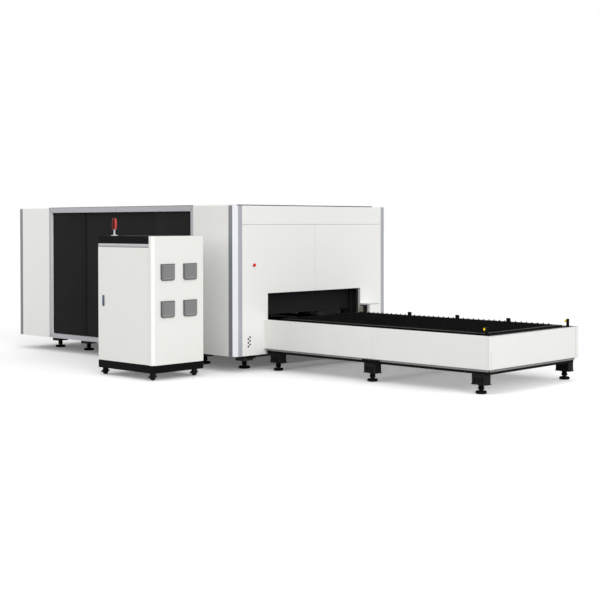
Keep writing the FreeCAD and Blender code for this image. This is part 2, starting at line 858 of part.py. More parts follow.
def cutting_head():
    """Collimator barrel, square lens block and tapered nozzle holder of the cutting head."""
    x, y = head_x, cross_park_y
    block_half = head_radius
    block_z0 = head_bottom + head_block_rise
    block_z1 = block_z0 + head_block_height
    nozzle = [(0, nozzle_tip_radius), (head_bottom - nozzle_tip, nozzle_root_radius)]
    parts = [
        facet_bar(head_radius * 0.8, Vector(x, y, block_z1), Vector(x, y, head_top), 16),
        box(x - block_half, x + block_half, y - block_half, y + block_half, block_z0, block_z1),
        facet_bar(head_radius * 0.7, Vector(x, y, head_bottom), Vector(x, y, block_z0), 16),
        facet_turning(nozzle, Vector(x, y, nozzle_tip), Z_AXIS, 12),
    ]
    return join(parts)


def scrap_tray():
    """Folded pan on the bed's ties that catches slag and small parts."""
    x0, x1 = -pallet_travel + pallet_from_wall, -bed_right - bed_tie_width
    y0, y1 = bed_inner_near + 20, bed_inner_far - 20
    z0 = bed_tie_top
    pan = box(x0, x1, y0, y1, z0, z0 + scrap_tray_rim)
    return pan.cut(box(x0 + sheet, x1 - sheet, y0 + sheet, y1 - sheet, z0 + sheet, z0 + scrap_tray_rim))


# ---------------------------------------------------------------------------------------------------
# Levelling feet
# ---------------------------------------------------------------------------------------------------

def levelling_foot(x, y, top, pad_radius):
    """Round pad and threaded stem."""
    return join([
        facet_bar(pad_radius, Vector(x, y, 0), Vector(x, y, pad_height), 14),
        facet_bar(foot_stem_radius, Vector(x, y, pad_height), Vector(x, y, top), 6),
    ])


def levelling_feet():
    feet = []
    for x in foot_from_end:
        for y in (bed_near_y, bed_far_y):
            feet.append(levelling_foot(-x, y, bed_bottom - foot_plate_thickness, bed_pad_radius))
    for x in leg_x:
        for y in (leg_near_y, leg_far_y):
            feet.append(levelling_foot(x, y, leg_bottom, table_pad_radius))
    return group(feet)


# ---------------------------------------------------------------------------------------------------
# Exchange table
# ---------------------------------------------------------------------------------------------------

def table_frame():
    """Black welded frame: side plates on beams, cross beams at the legs, an end plate and its cover."""
    x0, x1 = table_set_in, table_length - table_set_in
    splice_top = skirt_bottom - ledge_height
    bearing_radius = (drive_shaft_radius + drive_shaft_fit) / math.cos(math.pi / 12)
    bearing = facet_bar(bearing_radius, Vector(drive_shaft_x, frame_near - 1, drive_shaft_z),
                        Vector(drive_shaft_x, frame_far + 1, drive_shaft_z))
    parts = []
    for edge, inward, beam_end in ((frame_near, 1, x1), (frame_far, -1, x1 - table_notch)):
        p0, p1 = sorted((edge, edge + inward * table_plate))
        b0, b1 = sorted((edge, edge + inward * table_beam))
        s0, s1 = sorted((edge, edge - inward * (ledge_thickness + splice_proud)))
        parts.append(box(x0, x1, p0, p1, skirt_bottom, table_plate_top).cut(bearing))
        parts.append(box(x0, beam_end, b0, b1, table_beam_bottom, skirt_bottom))
        parts.append(box(skirt_seam_x - splice_length / 2, skirt_seam_x + splice_length / 2, s0, s1,
                         splice_top - splice_thickness, splice_top))
    for x in leg_x:
        parts.append(box(x - table_beam / 2, x + table_beam / 2, frame_near + table_beam,
                         frame_far - table_beam, table_beam_bottom, skirt_bottom))
    parts.append(join([
        box(x1 - table_plate, x1, frame_near + table_beam, frame_far - table_beam,
            table_beam_bottom, skirt_bottom),
        box(x1 - table_plate, x1, frame_near + table_plate, frame_far - table_plate,
            skirt_bottom, table_plate_top),
    ]))
    parts.append(box(x1 - table_cover_length, x1, frame_near, frame_far,
                     table_plate_top, table_plate_top + table_cover))
    return group(parts + [join(motor_bracket_parts())])


def skirt_ledge():
    """Grey strip under the skirts that they are screwed to, open at the corners."""
    z0 = skirt_bottom - ledge_height
    x0, x1 = table_set_in, table_length - table_set_in
    near_end = frame_near + ledge_corner_gap
    return group([
        box(x0, x1 - ledge_corner_gap, frame_near - ledge_thickness, frame_near, z0, skirt_bottom),
        box(x0, x1 - table_notch, frame_far, frame_far + ledge_thickness, z0, skirt_bottom),
        box(x1, x1 + ledge_thickness, near_end, frame_far - table_notch, z0, skirt_bottom),
    ])


def side_skirts():
    """Two folded sheets end to end along each long side of the table."""
    far_end = table_length - skirt_fold
    return group([
        front_tray(x0, x1, y0, y1, skirt_bottom, skirt_top, inward)
        for y0, y1, inward in ((table_near, frame_near, 1), (frame_far, table_far, -1))
        for x0, x1 in ((0, skirt_seam_x - seam / 2), (skirt_seam_x + seam / 2, far_end))
    ])


def end_skirt():
    """The end sheet wraps both corners of the table."""
    x0, x1 = table_length - skirt_fold + seam, table_length
    return side_tray(x0, x1, table_near, table_far, skirt_bottom, skirt_top, -1)


def leg_brackets():
    """Six box brackets with a flange below and three slots in the outer face."""
    brackets = []
    for x in leg_x:
        for y in (leg_near_y, leg_far_y):
            half_l, half_w = leg_length / 2, leg_width / 2
            z0 = leg_bottom + leg_flange
            bracket = join([
                box(x - half_l, x + half_l, y - half_w, y + half_w, z0, table_beam_bottom),
                box(x - half_l - leg_flange_reach, x + half_l + leg_flange_reach,
                    y - half_w, y + half_w, leg_bottom, z0),
            ])
            for place in (-1, 0, 1):
                s = x + place * leg_slot_spacing
                bracket = bracket.cut(box(s - leg_slot_width / 2, s + leg_slot_width / 2, y - half_w,
                                          y - half_w + leg_slot_depth, z0 + 6, z0 + 6 + leg_slot_height))
            brackets.append(bracket)
    return group(brackets)


def track_angle(x0, x1, wall_y, lip_y, top):
    """An angle that a pallet's wheels run on: one flange on the wall, one level."""
    inward = 1 if lip_y > wall_y else -1
    section = [
        (wall_y, top), (lip_y, top), (lip_y, top - track_thickness),
        (wall_y + inward * track_thickness, top - track_thickness),
        (wall_y + inward * track_thickness, top - track_depth), (wall_y, top - track_depth),
    ]
    return prism([Vector(x0, y, z) for y, z in section], X_AXIS * (x1 - x0))


def pallet_tracks():
    """Upper and lower tracks on both sides; those in the cell reach out to the table in a narrow tongue."""
    tracks = []
    start, end = -pallet_travel + pallet_from_wall - track_end_gap * 2, -end_fold - slide_gap
    table_x = (table_set_in, table_length - table_set_in - table_plate)
    for level in (0, level_step):
        top = track_top - level
        for bed_y, plate_y, lip_y, outward in (
            (bed_inner_near, frame_near + table_plate, track_lip_near, -1),
            (bed_inner_far, frame_far - table_plate, track_lip_far, 1),
        ):
            t0, t1 = sorted((lip_y, lip_y + outward * track_tongue))
            tongue = box(end, table_x[0] - track_joint, t0, t1, top - track_thickness, top)
            tracks.append(join([track_angle(start, end, bed_y, lip_y, top), tongue]))
            tracks.append(track_angle(table_x[0], table_x[1], plate_y, lip_y, top))
    return group(tracks)


def drive_shaft():
    """Cross shaft of the exchange drive with a toothed wheel for each chain."""
    x, z = drive_shaft_x, drive_shaft_z
    parts = [facet_bar(drive_shaft_radius, Vector(x, frame_near, z), Vector(x, frame_far, z))]
    root = sprocket_radius - sprocket_tooth_depth
    for y in chain_places():
        points = []
        for k in range(sprocket_teeth):
            for radius, share in ((root, 0.0), (sprocket_radius, 0.5)):
                a = 2 * math.pi * (k + share) / sprocket_teeth
                points.append(Vector(x + radius * math.cos(a), y - sprocket_width / 2, z + radius * math.sin(a)))
        parts.append(prism(points, Y_AXIS * sprocket_width))
    return join(parts)


def chain_places():
    """The two chains run just inside the side plates."""
    return (frame_near + table_plate + chain_set_in, frame_far - table_plate - chain_set_in)


def transfer_chains():
    """Two closed chain loops, each with its idler wheel at the far end of the table."""
    loops = []
    inner = (sprocket_radius + chain_gap) / math.cos(math.pi / (2 * chain_end_steps))
    outer = inner + chain_thickness
    for y in chain_places():
        band = stadium(outer, y).cut(stadium(inner, y))
        outward = -1 if y < pallet_centre_y else 1
        plate_y = frame_near + table_plate if outward < 0 else frame_far - table_plate
        hub, rim = Vector(drive_shaft_x + chain_reach, plate_y, drive_shaft_z), y + outward * chain_width / 2
        x = hub.x
        idler = join([
            facet_bar(drive_shaft_radius, hub, Vector(x, rim, drive_shaft_z), 8),
            facet_bar(inner - chain_thickness / 2, Vector(x, rim, drive_shaft_z),
                      Vector(x, y - outward * chain_width / 2, drive_shaft_z)),
        ])
        link = box(x, x + outer, y - sprocket_width / 2, y + sprocket_width / 2,
                   drive_shaft_z - sprocket_tooth_depth, drive_shaft_z + sprocket_tooth_depth)
        loops.append(join([band, idler, link]))
    return group(loops)


def stadium(radius, y):
    """A flat bar with rounded ends, from the drive shaft to the far idler."""
    x0, x1, z = drive_shaft_x, drive_shaft_x + chain_reach, drive_shaft_z
    points = []
    for x, start in ((x1, -0.5), (x0, 0.5)):
        for k in range(chain_end_steps + 1):
            a = math.pi * (start + k / chain_end_steps)
            points.append(Vector(x + radius * math.cos(a), y - chain_width / 2, z + radius * math.sin(a)))
    return prism(points, Y_AXIS * chain_width)


def drive_cover():
    """White folded box on the end wall that covers the exchange drive."""
    shell = box(0, cover_box_depth, cover_box_near, cover_box_far, cell_bottom, cover_box_top)
    return shell.cut(box(0, cover_box_depth - sheet, cover_box_near + sheet, cover_box_far - sheet,
                         cell_bottom + sheet, cover_box_top - sheet))


def exchange_motor():
    """Small gear motor on the far side plate."""
    half = motor_size / 2
    parts = [
        box(motor_x, motor_x + motor_length, motor_y - half, motor_y + half, motor_z - half, motor_z + half),
        box(motor_x + 20, motor_x + motor_length - 20, frame_far - table_plate, frame_far,
            table_plate_top, motor_z - half),
    ]
    return join(parts)


def motor_bracket_parts():
    """Black angle bracket over the gear motor, on a foot that stands on the far side plate."""
    x0 = motor_x + motor_length
    half = motor_size / 2 + 6
    return [
        box(x0, x0 + motor_bracket, frame_far - table_plate, frame_far, table_plate_top, skirt_top),
        box(x0, x0 + motor_bracket, motor_y - half, motor_y + half, skirt_top, motor_bracket_top),
        box(x0 - motor_length * 0.7, x0 + motor_bracket, motor_y - half, motor_y + half,
            motor_bracket_top - motor_bracket, motor_bracket_top),
    ]


def sensor_posts():
    """Two short posts on the end cover."""
    z0 = table_plate_top + table_cover
    half = sensor_post / 2
    return group([
        box(sensor_x - half, sensor_x + half, y - half, y + half, z0, z0 + sensor_height)
        for y in (sensor_near, sensor_far)
    ])


def sensor_eyes():
    """A yellow eye on each post that looks back along the table."""
    z = table_plate_top + table_cover + sensor_height - sensor_eye_drop
    x1 = sensor_x - sensor_post / 2
    return group([
        facet_bar(sensor_eye_radius, Vector(x1 - sensor_eye_length, y, z), Vector(x1, y, z))
        for y in (sensor_near, sensor_far)
    ])


# ---------------------------------------------------------------------------------------------------
# Pallets
# ---------------------------------------------------------------------------------------------------

def pallet_start(outside):
    """The pallet's inner end along x, outside on the table or inside the cell."""
    return pallet_from_wall if outside else pallet_from_wall - pallet_travel


def pallet_frame(outside):
    """Welded rectangle with slat ledges, four wheels, and three sheet stops along its rear beam."""
    drop = 0 if outside else level_step
    x0 = pallet_start(outside)
    x1 = x0 + pallet_length
    z0, z1 = pallet_bottom - drop, pallet_top - drop
    ledge_top = slat_tip - slat_height - drop
    parts = []
    for edge, inward in ((pallet_near, 1), (pallet_far, -1)):
        b0, b1 = sorted((edge, edge + inward * pallet_beam))
        l0, l1 = sorted((edge + inward * pallet_beam, edge + inward * (pallet_beam + slat_ledge)))
        parts.append(box(x0, x1, b0, b1, z0, z1))
        parts.append(box(x0 + pallet_beam, x1 - pallet_beam, l0, l1, ledge_top - slat_ledge, ledge_top))
    for end in (x0, x1 - pallet_beam):
        parts.append(box(end, end + pallet_beam, pallet_near + pallet_beam, pallet_far - pallet_beam, z0, z1))
    axis_z = wheel_axis_z - drop
    for edge, outward in ((pallet_near, -1), (pallet_far, 1)):
        for x in (x0 + wheel_end_inset, x1 - wheel_end_inset):
            start = Vector(x, edge, axis_z)
            rim = start + Y_AXIS * (outward * wheel_gap)
            parts.append(facet_bar(wheel_axle_radius, start, rim, 6))
            parts.append(facet_bar(wheel_radius, rim, rim + Y_AXIS * (outward * wheel_width), 16))
    for k in range(stop_count):
        x = x0 + stop_from_end + k * stop_pitch
        parts.append(box(x - stop_length / 2, x + stop_length / 2, stop_y - stop_width / 2,
                         stop_y + stop_width / 2, z1, slat_tip + stop_rise - drop))
    return group(parts)


def pallet_slats(outside):
    """Upright slats across the pallet, cut in saw teeth along the top edge."""
    drop = 0 if outside else level_step
    x0 = pallet_start(outside) + pallet_beam
    span = pallet_length - 2 * pallet_beam
    y0, y1 = pallet_near + pallet_beam, pallet_far - pallet_beam
    base, tip = slat_tip - slat_height - drop, slat_tip - drop
    teeth = int((y1 - y0) / tooth_pitch)
    step = (y1 - y0) / teeth
    outline = [(y1, base), (y0, base)]
    for k in range(teeth):
        outline.append((y0 + k * step, tip - tooth_depth))
        outline.append((y0 + (k + 0.5) * step, tip))
    outline.append((y1, tip - tooth_depth))
    count = int(span / slat_pitch) - 1
    margin = (span - (count - 1) * slat_pitch) / 2
    slats = []
    for k in range(count):
        x = x0 + margin + k * slat_pitch - slat_thickness / 2
        slats.append(prism([Vector(x, y, z) for y, z in outline], X_AXIS * slat_thickness))
    return group(slats)


# ---------------------------------------------------------------------------------------------------
# Control cabinet
# ---------------------------------------------------------------------------------------------------

def cabinet_shell():
    """Floor, left side, back and top of the cabinet, open at the front and at the right."""
    x0, x1 = cabinet_left_x, cabinet_right_x - cabinet_wall
    y0, y1 = cabinet_front_y + cabinet_door_thickness, cabinet_back_y
    clear_of_chamfer = cabinet_front_y + flange_chamfer + cabinet_wall
    back = y1 - cabinet_wall
    parts = [
        box(x0, x0 + cabinet_wall, y0, back, cabinet_floor, band_bottom_z),
        box(x0, x1, back, y1, cabinet_floor, cabinet_height),
    ]
    for z in (cabinet_floor, band_bottom_z - cabinet_wall):
        parts.append(box(x0 + cabinet_wall, flange_left_x, y0, back, z, z + cabinet_wall))
        parts.append(box(flange_left_x, x1, clear_of_chamfer, back, z, z + cabinet_wall))
    return group(parts)


def cabinet_side():
    """Right side sheet with a chamfered front corner and a flange beside the door."""
    x0, x1 = flange_left_x, cabinet_right_x
    y0, y1 = cabinet_front_y, cabinet_back_y
    wall = cabinet_wall
    cut = flange_chamfer - wall * (math.sqrt(2) - 1) * 0.5
    outline = [
        (x0, y0), (x1 - flange_chamfer, y0), (x1, y0 + flange_chamfer), (x1, y1), (x1 - wall, y1),
        (x1 - wall, y0 + wall + cut), (x1 - wall - cut, y0 + wall), (x0, y0 + wall),
    ]
    return prism([Vector(x, y, cabinet_floor) for x, y in outline], Z_AXIS * (cabinet_height - cabinet_floor))


def cabinet_band():
    """Black head of the cabinet: a closed box that fills the height above the trim."""
    back = cabinet_back_y - cabinet_wall
    clear_of_chamfer = cabinet_front_y + flange_chamfer + cabinet_wall
    return join([
        box(cabinet_left_x, flange_left_x, cabinet_front_y + sheet, back, band_bottom_z, cabinet_height),
        box(flange_left_x, cabinet_right_x - cabinet_wall, clear_of_chamfer, back,
            band_bottom_z, cabinet_height),
    ])


def cabinet_trim():
    """Grey strip between the black head and the door, with a shallow step along its middle."""
    x0, x1 = cabinet_left_x, flange_left_x
    y0, y1 = cabinet_front_y, cabinet_front_y + cabinet_door_thickness
    middle = (trim_bottom_z + band_bottom_z) / 2
    section = [
        (y1, trim_bottom_z), (y0 + trim_proud, trim_bottom_z), (y0, trim_bottom_z + trim_proud),
        (y0, middle), (y0 + trim_proud, middle + trim_proud), (y0 + trim_proud, band_bottom_z),
        (y1, band_bottom_z),
    ]
    return prism([Vector(x0, y, z) for y, z in section], X_AXIS * (x1 - x0))


def cabinet_door():
    """Folded door leaf with the lever's round seat bored through it."""
    x0, x1 = cabinet_left_x, door_hinge_x - seam / 2
    y0, y1 = cabinet_front_y, cabinet_front_y + cabinet_door_thickness - 1
    leaf = front_tray(x0, x1, y0, y1, cabinet_floor + seam, trim_bottom_z - seam, 1)
    bore = round_bar(lever_hub_radius + lever_fit, Vector(lever_pivot_x, y0 - 1, lever_pivot_z),
                     Vector(lever_pivot_x, y1, lever_pivot_z))
    return leaf.cut(bore)


def door_lever():
    """Flat lever with cut corners on a round hub that turns in the door."""
    y0 = cabinet_front_y - lever_thickness
    half = lever_width / 2
    cut = half * 0.6
    x, top, bottom = lever_pivot_x, lever_top, lever_top - lever_length
    outline = [
        (x - half, bottom + cut), (x - half + cut, bottom), (x + half - cut, bottom), (x + half, bottom + cut),
        (x + half, top - cut), (x + half - cut, top), (x - half + cut, top), (x - half, top - cut),
    ]
    grip = prism([Vector(u, y0, w) for u, w in outline], Y_AXIS * (lever_thickness - running_gap))
    hub = round_bar(lever_hub_radius, Vector(x, cabinet_front_y - lever_thickness / 2, lever_pivot_z),
                    Vector(x, cabinet_front_y + sheet * 4, lever_pivot_z))
    return join([grip, hub])


def cabinet_plinth():
    """Black base box with the four casters' fixed plates and kingpins below it."""
    parts = [
        box(cabinet_left_x, cabinet_right_x, cabinet_front_y, cabinet_back_y, plinth_bottom, cabinet_floor)
    ]
    half = caster_plate / 2
    plate_z = plinth_bottom - caster_plate_thickness
    for _, x, y in caster_places():
        parts.append(box(x - half, x + half, y - half, y + half, plate_z, plinth_bottom))
        parts.append(facet_bar(caster_pin_radius, Vector(x, y, plate_z - caster_pin_length),
                               Vector(x, y, plate_z), 8))
    return join(parts)


def filter_covers():
    """Four filter covers on the right side: a bevelled box with louvres across its face."""
    covers = []
    x0, x1 = cabinet_right_x, cabinet_right_x + filter_proud
    c = filter_chamfer
    for column in range(2):
        for row in range(2):
            y0 = cabinet_front_y + filter_first_y + column * filter_pitch_y
            y1 = y0 + filter_width
            z1 = filter_top_z - row * filter_pitch_z
            z0 = z1 - filter_height
            back = [(y0, z0 + c), (y0 + c, z0), (y1 - c, z0), (y1, z0 + c), (y1, z1), (y0, z1)]
            front = [(y0 + c, z0 + 2 * c), (y0 + 2 * c, z0 + c), (y1 - 2 * c, z0 + c),
                     (y1 - c, z0 + 2 * c), (y1 - c, z1 - c), (y0 + c, z1 - c)]
            levels = ((x0, back), (x1 - c, back), (x1, front))
            cover = stacked([[Vector(x, y, z) for y, z in outline] for x, outline in levels])
            pitch = (filter_height - 4 * c) / louvre_count
            for k in range(louvre_count):
                z = z0 + 2 * c + (k + 0.5) * pitch
                cover = cover.cut(box(x1 - louvre_depth, x1 + 1, y0 + 2 * c, y1 - 2 * c,
                                      z - louvre_height / 2, z + louvre_height / 2))
            covers.append(cover)
    return group(covers)


def control_rack():
    """Mounting plate on the cabinet's back with a row of drives, a breaker rail and the laser source."""
    y1 = cabinet_back_y - rack_plate_setback
    y0 = y1 - rack_plate
    x0 = cabinet_left_x + rack_plate_setback
    x1 = cabinet_right_x - rack_plate_setback
    parts = [
        box(x0, x1, y0, y1, cabinet_floor + cabinet_wall, band_bottom_z - 3 * cabinet_wall),
        box(x0, x1, y0 - laser_box_depth, y0, cabinet_floor + cabinet_wall,
            cabinet_floor + cabinet_wall + laser_box_height),
    ]
    first = (x0 + x1) / 2 - rack_drive_count / 2 * rack_drive_pitch
    drive_z = cabinet_floor + rack_drive_rise
    for k in range(rack_drive_count):
        x = first + k * rack_drive_pitch
        parts.append(box(x, x + rack_drive_width, y0 - rack_drive_depth, y0, drive_z, drive_z + rack_drive_height))
    row_z = cabinet_floor + breaker_row_rise
    parts.append(box(x0 + breaker_row_inset, x1 - breaker_row_inset, y0 - breaker_row_depth, y0,
                     row_z, row_z + breaker_row_height))
    return join(parts)


def lamp_stem():
    """Round foot and pole of the signal lamp."""
    foot = Vector(lamp_x, lamp_y, cabinet_height)
    return join([
        facet_bar(lamp_base_radius, foot, foot + Z_AXIS * lamp_base_height, 24),
        facet_bar(lamp_pole_radius, foot + Z_AXIS * lamp_base_height, Vector(lamp_x, lamp_y, lamp_pole_top)),
    ])


def lamp_lens():
    """Red lens, widest a little below its middle."""
    stations = [
        (0, lamp_lens_foot_radius), (lamp_lens_height * lamp_lens_belly, lamp_lens_radius),
        (lamp_lens_height, lamp_lens_top_radius),
    ]
    return facet_turning(stations, Vector(lamp_x, lamp_y, lamp_pole_top), Z_AXIS, 24)


def caster_places():
    """Plan position of each caster's swivel axis, and the way its wheel trails."""
    xs = (cabinet_left_x + caster_inset_x, cabinet_right_x - caster_inset_x)
    ys = (cabinet_front_y + caster_inset_y, cabinet_back_y - caster_inset_y)
    return [
        ("front_left", xs[0], ys[0]), ("front_right", xs[1], ys[0]),
        ("rear_left", xs[0], ys[1]), ("rear_right", xs[1], ys[1]),
    ]


def caster_fork(x, y):
    """Swivel head on the kingpin, and two cheeks with the wheel's axle between them."""
    head_z = plinth_bottom - caster_plate_thickness - running_gap
    crown_z = 2 * caster_wheel_radius + caster_side_gap
    inner = caster_wheel_width / 2 + caster_side_gap
    outer = inner + caster_cheek
    wheel_y = y - caster_trail
    wheel_z = caster_wheel_radius
    half = caster_crown / 2
    parts = [
        box(x - outer, x + outer, wheel_y - half, wheel_y + half, crown_z, head_z),
        facet_bar(caster_axle_radius, Vector(x - outer, wheel_y, wheel_z), Vector(x + outer, wheel_y, wheel_z), 8),
    ]
    foot = caster_axle_radius * 2
    for side in (-1, 1):
        c0, c1 = sorted((side * inner, side * outer))
        cheek = [
            Vector(x + c0, wheel_y - half, crown_z), Vector(x + c0, wheel_y + half, crown_z),
            Vector(x + c0, wheel_y + foot, wheel_z - foot), Vector(x + c0, wheel_y - foot, wheel_z - foot),
        ]
        parts.append(prism(cheek, X_AXIS * (c1 - c0)))
    bore_radius = (caster_pin_radius + caster_pin_fit) / math.cos(math.pi / 8)
    bore = facet_bar(bore_radius, Vector(x, y, crown_z - 1), Vector(x, y, head_z + 1), 8)
    return join(parts).cut(bore)


def caster_wheel(x, y):
    """Wheel with its axle bore."""
    half = caster_wheel_width / 2
    near = Vector(x - half, y - caster_trail, caster_wheel_radius)
    far = Vector(x + half, y - caster_trail, caster_wheel_radius)
    bore_radius = (caster_axle_radius + caster_axle_fit) / math.cos(math.pi / 8)
    return facet_bar(caster_wheel_radius, near, far, 20).cut(facet_bar(bore_radius, near, far, 8))


# ---------------------------------------------------------------------------------------------------
# Nodes
# ---------------------------------------------------------------------------------------------------

def nodes():
    """Every sub-part by name."""
    named = {
        "corner_profiles": corner_profiles(),
        "front_panels": front_panels(),
        "window_frame": window_frame(),
        "fixed_panes": fixed_panes(),
        "sliding_door_left": sliding_door(-1),
        "sliding_door_right": sliding_door(1),
        "door_track": door_track(),
        "end_fascia": end_fascia(),
        "end_panel_near": end_panel_near(),
        "end_panel_far": end_panel_far(),
        "stop_button": stop_button(),
        "shutter_posts": shutter_posts(),
        "exchange_shutter": exchange_shutter(),
        "left_end_wall": left_end_wall(),
        "rear_panels": rear_panels(),
        "roof_panels": roof_panels(),
        "bed_frame": bed_frame(),
        "guide_rails": guide_rails(),
        "gantry_beam": gantry_beam(),
        "gantry_drives": gantry_drives(),
        "cross_carriage": cross_carriage(),
        "z_slide": z_slide(),
        "cutting_head": cutting_head(),
        "scrap_tray": scrap_tray(),
        "levelling_feet": levelling_feet(),
        "table_frame": table_frame(),
        "skirt_ledge": skirt_ledge(),
        "side_skirts": side_skirts(),
        "end_skirt": end_skirt(),
        "leg_brackets": leg_brackets(),
        "pallet_tracks": pallet_tracks(),
        "drive_shaft": drive_shaft(),
        "transfer_chains": transfer_chains(),
        "drive_cover": drive_cover(),
        "exchange_motor": exchange_motor(),
        "sensor_posts": sensor_posts(),
        "sensor_eyes": sensor_eyes(),
        "outer_pallet_frame": pallet_frame(True),
        "outer_pallet_slats": pallet_slats(True),
        "inner_pallet_frame": pallet_frame(False),
        "inner_pallet_slats": pallet_slats(False),
        "cabinet_shell": cabinet_shell(),
        "cabinet_side": cabinet_side(),
        "cabinet_band": cabinet_band(),
        "cabinet_trim": cabinet_trim(),
        "cabinet_door": cabinet_door(),
        "door_lever": door_lever(),
        "cabinet_plinth": cabinet_plinth(),
        "filter_covers": filter_covers(),
        "control_rack": control_rack(),
        "lamp_stem": lamp_stem(),
        "lamp_lens": lamp_lens(),
    }
    for place, x, y in caster_places():
        named["caster_fork_" + place] = caster_fork(x, y)
        named["caster_wheel_" + place] = caster_wheel(x, y)
    return named


def export_all():
    """Writes one file per sub-part, shifted to the machine's own origin."""
    os.makedirs("parts", exist_ok=True)
    for name, shape in nodes().items():
        placed = shape.copy()
        placed.translate(origin * -1)
        placed.exportStep("parts/" + name + ".step")
        print(name, len(placed.Solids), "solids, valid", placed.isValid())


export_all()
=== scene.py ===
"""Looks of a fiber laser cutting machine: an enclosed cell with a dark window wall, the pallet exchange
table at its end and a control cabinet on casters.

Surfaces are worked out in millimetres from the cell's near right corner on the floor: x runs along the
cell towards the table, y goes in from the window wall and z is up. A surface is a pair, its points and a
list of index arrays, one array for each number of corners that its faces have."""
import json

import bpy
import numpy as np
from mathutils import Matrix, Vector


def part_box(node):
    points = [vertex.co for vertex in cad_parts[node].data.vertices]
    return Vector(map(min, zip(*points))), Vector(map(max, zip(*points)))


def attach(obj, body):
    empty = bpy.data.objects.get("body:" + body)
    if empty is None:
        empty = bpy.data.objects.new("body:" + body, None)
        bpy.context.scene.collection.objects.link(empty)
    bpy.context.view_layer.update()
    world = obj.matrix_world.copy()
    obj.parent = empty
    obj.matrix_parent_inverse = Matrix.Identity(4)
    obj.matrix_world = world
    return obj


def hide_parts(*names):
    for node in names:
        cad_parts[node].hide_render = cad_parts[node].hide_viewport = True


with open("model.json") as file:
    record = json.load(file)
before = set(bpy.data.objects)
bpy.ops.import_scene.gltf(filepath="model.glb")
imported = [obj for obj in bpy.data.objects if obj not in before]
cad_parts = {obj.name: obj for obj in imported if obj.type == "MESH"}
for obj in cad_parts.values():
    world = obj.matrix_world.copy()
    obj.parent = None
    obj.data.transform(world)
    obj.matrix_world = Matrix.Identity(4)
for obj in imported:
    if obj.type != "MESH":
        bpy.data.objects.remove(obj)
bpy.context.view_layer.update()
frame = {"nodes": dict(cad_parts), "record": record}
cell_corner = np.array([0.675, -0.922, 0.0])  # the near right corner in the frame, in metres
up = np.array([0.0, 0.0, 1.0])
along_x = np.array([1.0, 0.0, 0.0])
along_y = np.array([0.0, 1.0, 0.0])

# ---------------------------------------------------------------------------------------------------
# Surfaces
# ---------------------------------------------------------------------------------------------------


def lofted(rings):
    """Skin over rings of points, shape (rings, corners, 3): four-sided faces join each ring to the next
    and a flat face closes the first and the last. Seen from where the rings are heading, each ring runs
    anticlockwise."""
    count, corners = rings.shape[:2]
    index = np.arange(count * corners).reshape(count, corners)
    here, there = index[:-1], index[1:]
    sides = np.stack([here, np.roll(here, -1, 1), np.roll(there, -1, 1), there], -1).reshape(-1, 4)
    return rings.reshape(-1, 3), [sides, np.stack([index[0, ::-1], index[-1]])]


def square_to(axis):
    """Two unit directions u and v square to the axis, with u x v = axis."""
    u = np.cross(axis, up if abs(axis[2]) < 0.9 else along_x)
    u = u / np.linalg.norm(u)
    return u, np.cross(axis, u)


def turned(profile, foot, axis, sides=24):
    """Solid of revolution: a point of the profile (distance s, radius r) goes round the axis as
    foot + s axis + r (cos a u + sin a v)."""
    profile = np.asarray(profile, float)
    u, v = square_to(axis)
    a = np.linspace(0, 2 * np.pi, sides, endpoint=False)
    spoke = np.cos(a)[:, None] * u + np.sin(a)[:, None] * v
    rings = np.asarray(foot, float) + profile[:, :1, None] * axis + profile[:, 1:, None] * spoke
    return lofted(rings)


def hoop(section, foot, axis, sides=32):
    """A closed section of points (distance s, radius r) carried once round the axis, closed both ways.
    The section runs anticlockwise with s to the right and r upwards."""
    section = np.asarray(section, float)[::-1]
    u, v = square_to(axis)
    a = np.linspace(0, 2 * np.pi, sides, endpoint=False)
    spoke = np.cos(a)[:, None] * u + np.sin(a)[:, None] * v
    rings = (np.asarray(foot, float) + section[None, :, :1] * axis
             + section[None, :, 1:] * spoke[:, None, :])
    index = np.arange(rings.shape[0] * rings.shape[1]).reshape(rings.shape[:2])
    here, there = index, np.roll(index, -1, 0)
    faces = np.stack([here, np.roll(here, -1, 1), np.roll(there, -1, 1), there], -1).reshape(-1, 4)
    return rings.reshape(-1, 3), [faces]


def extruded(outline, along):
    """A flat outline carried straight along a direction; the outline is turned round if it runs the
    wrong way, by the sign of its area vector, half the sum of p x next p, on that direction."""
    outline, along = np.asarray(outline, float), np.asarray(along, float)
    area = np.cross(outline, np.roll(outline, -1, 0)).sum(0)
    outline = outline if area @ along > 0 else outline[::-1]
    return lofted(np.stack([outline, outline + along]))


def eased_block(low, high, edge, steps=3):
    """Box from low to high with all edges rounded: its level sections are rectangles with corner arcs,
    drawn in by edge (1 - sin t) at the height edge (1 - cos t) above the foot and below the top."""
    low, high = np.asarray(low, float), np.asarray(high, float)
    t = np.linspace(0, np.pi / 2, steps + 1)
    rise = np.concatenate([low[2] + edge * (1 - np.cos(t)), high[2] - edge * (1 - np.cos(t[::-1]))])
    reach = edge * np.sin(np.concatenate([t, t[::-1]]))
    middle, half = (low + high)[:2] / 2, (high - low)[:2] / 2 - edge
    corner = np.repeat(np.arange(4), steps + 1)
    a = corner * np.pi / 2 + np.tile(t, 4)
    signs = np.array([[1, 1], [-1, 1], [-1, -1], [1, -1]])[corner]
    flat = middle + signs * half + reach[:, None, None] * np.stack([np.cos(a), np.sin(a)], -1)
    rings = np.concatenate([flat, np.broadcast_to(rise[:, None, None], flat.shape[:2] + (1,))], -1)
    return lofted(rings)


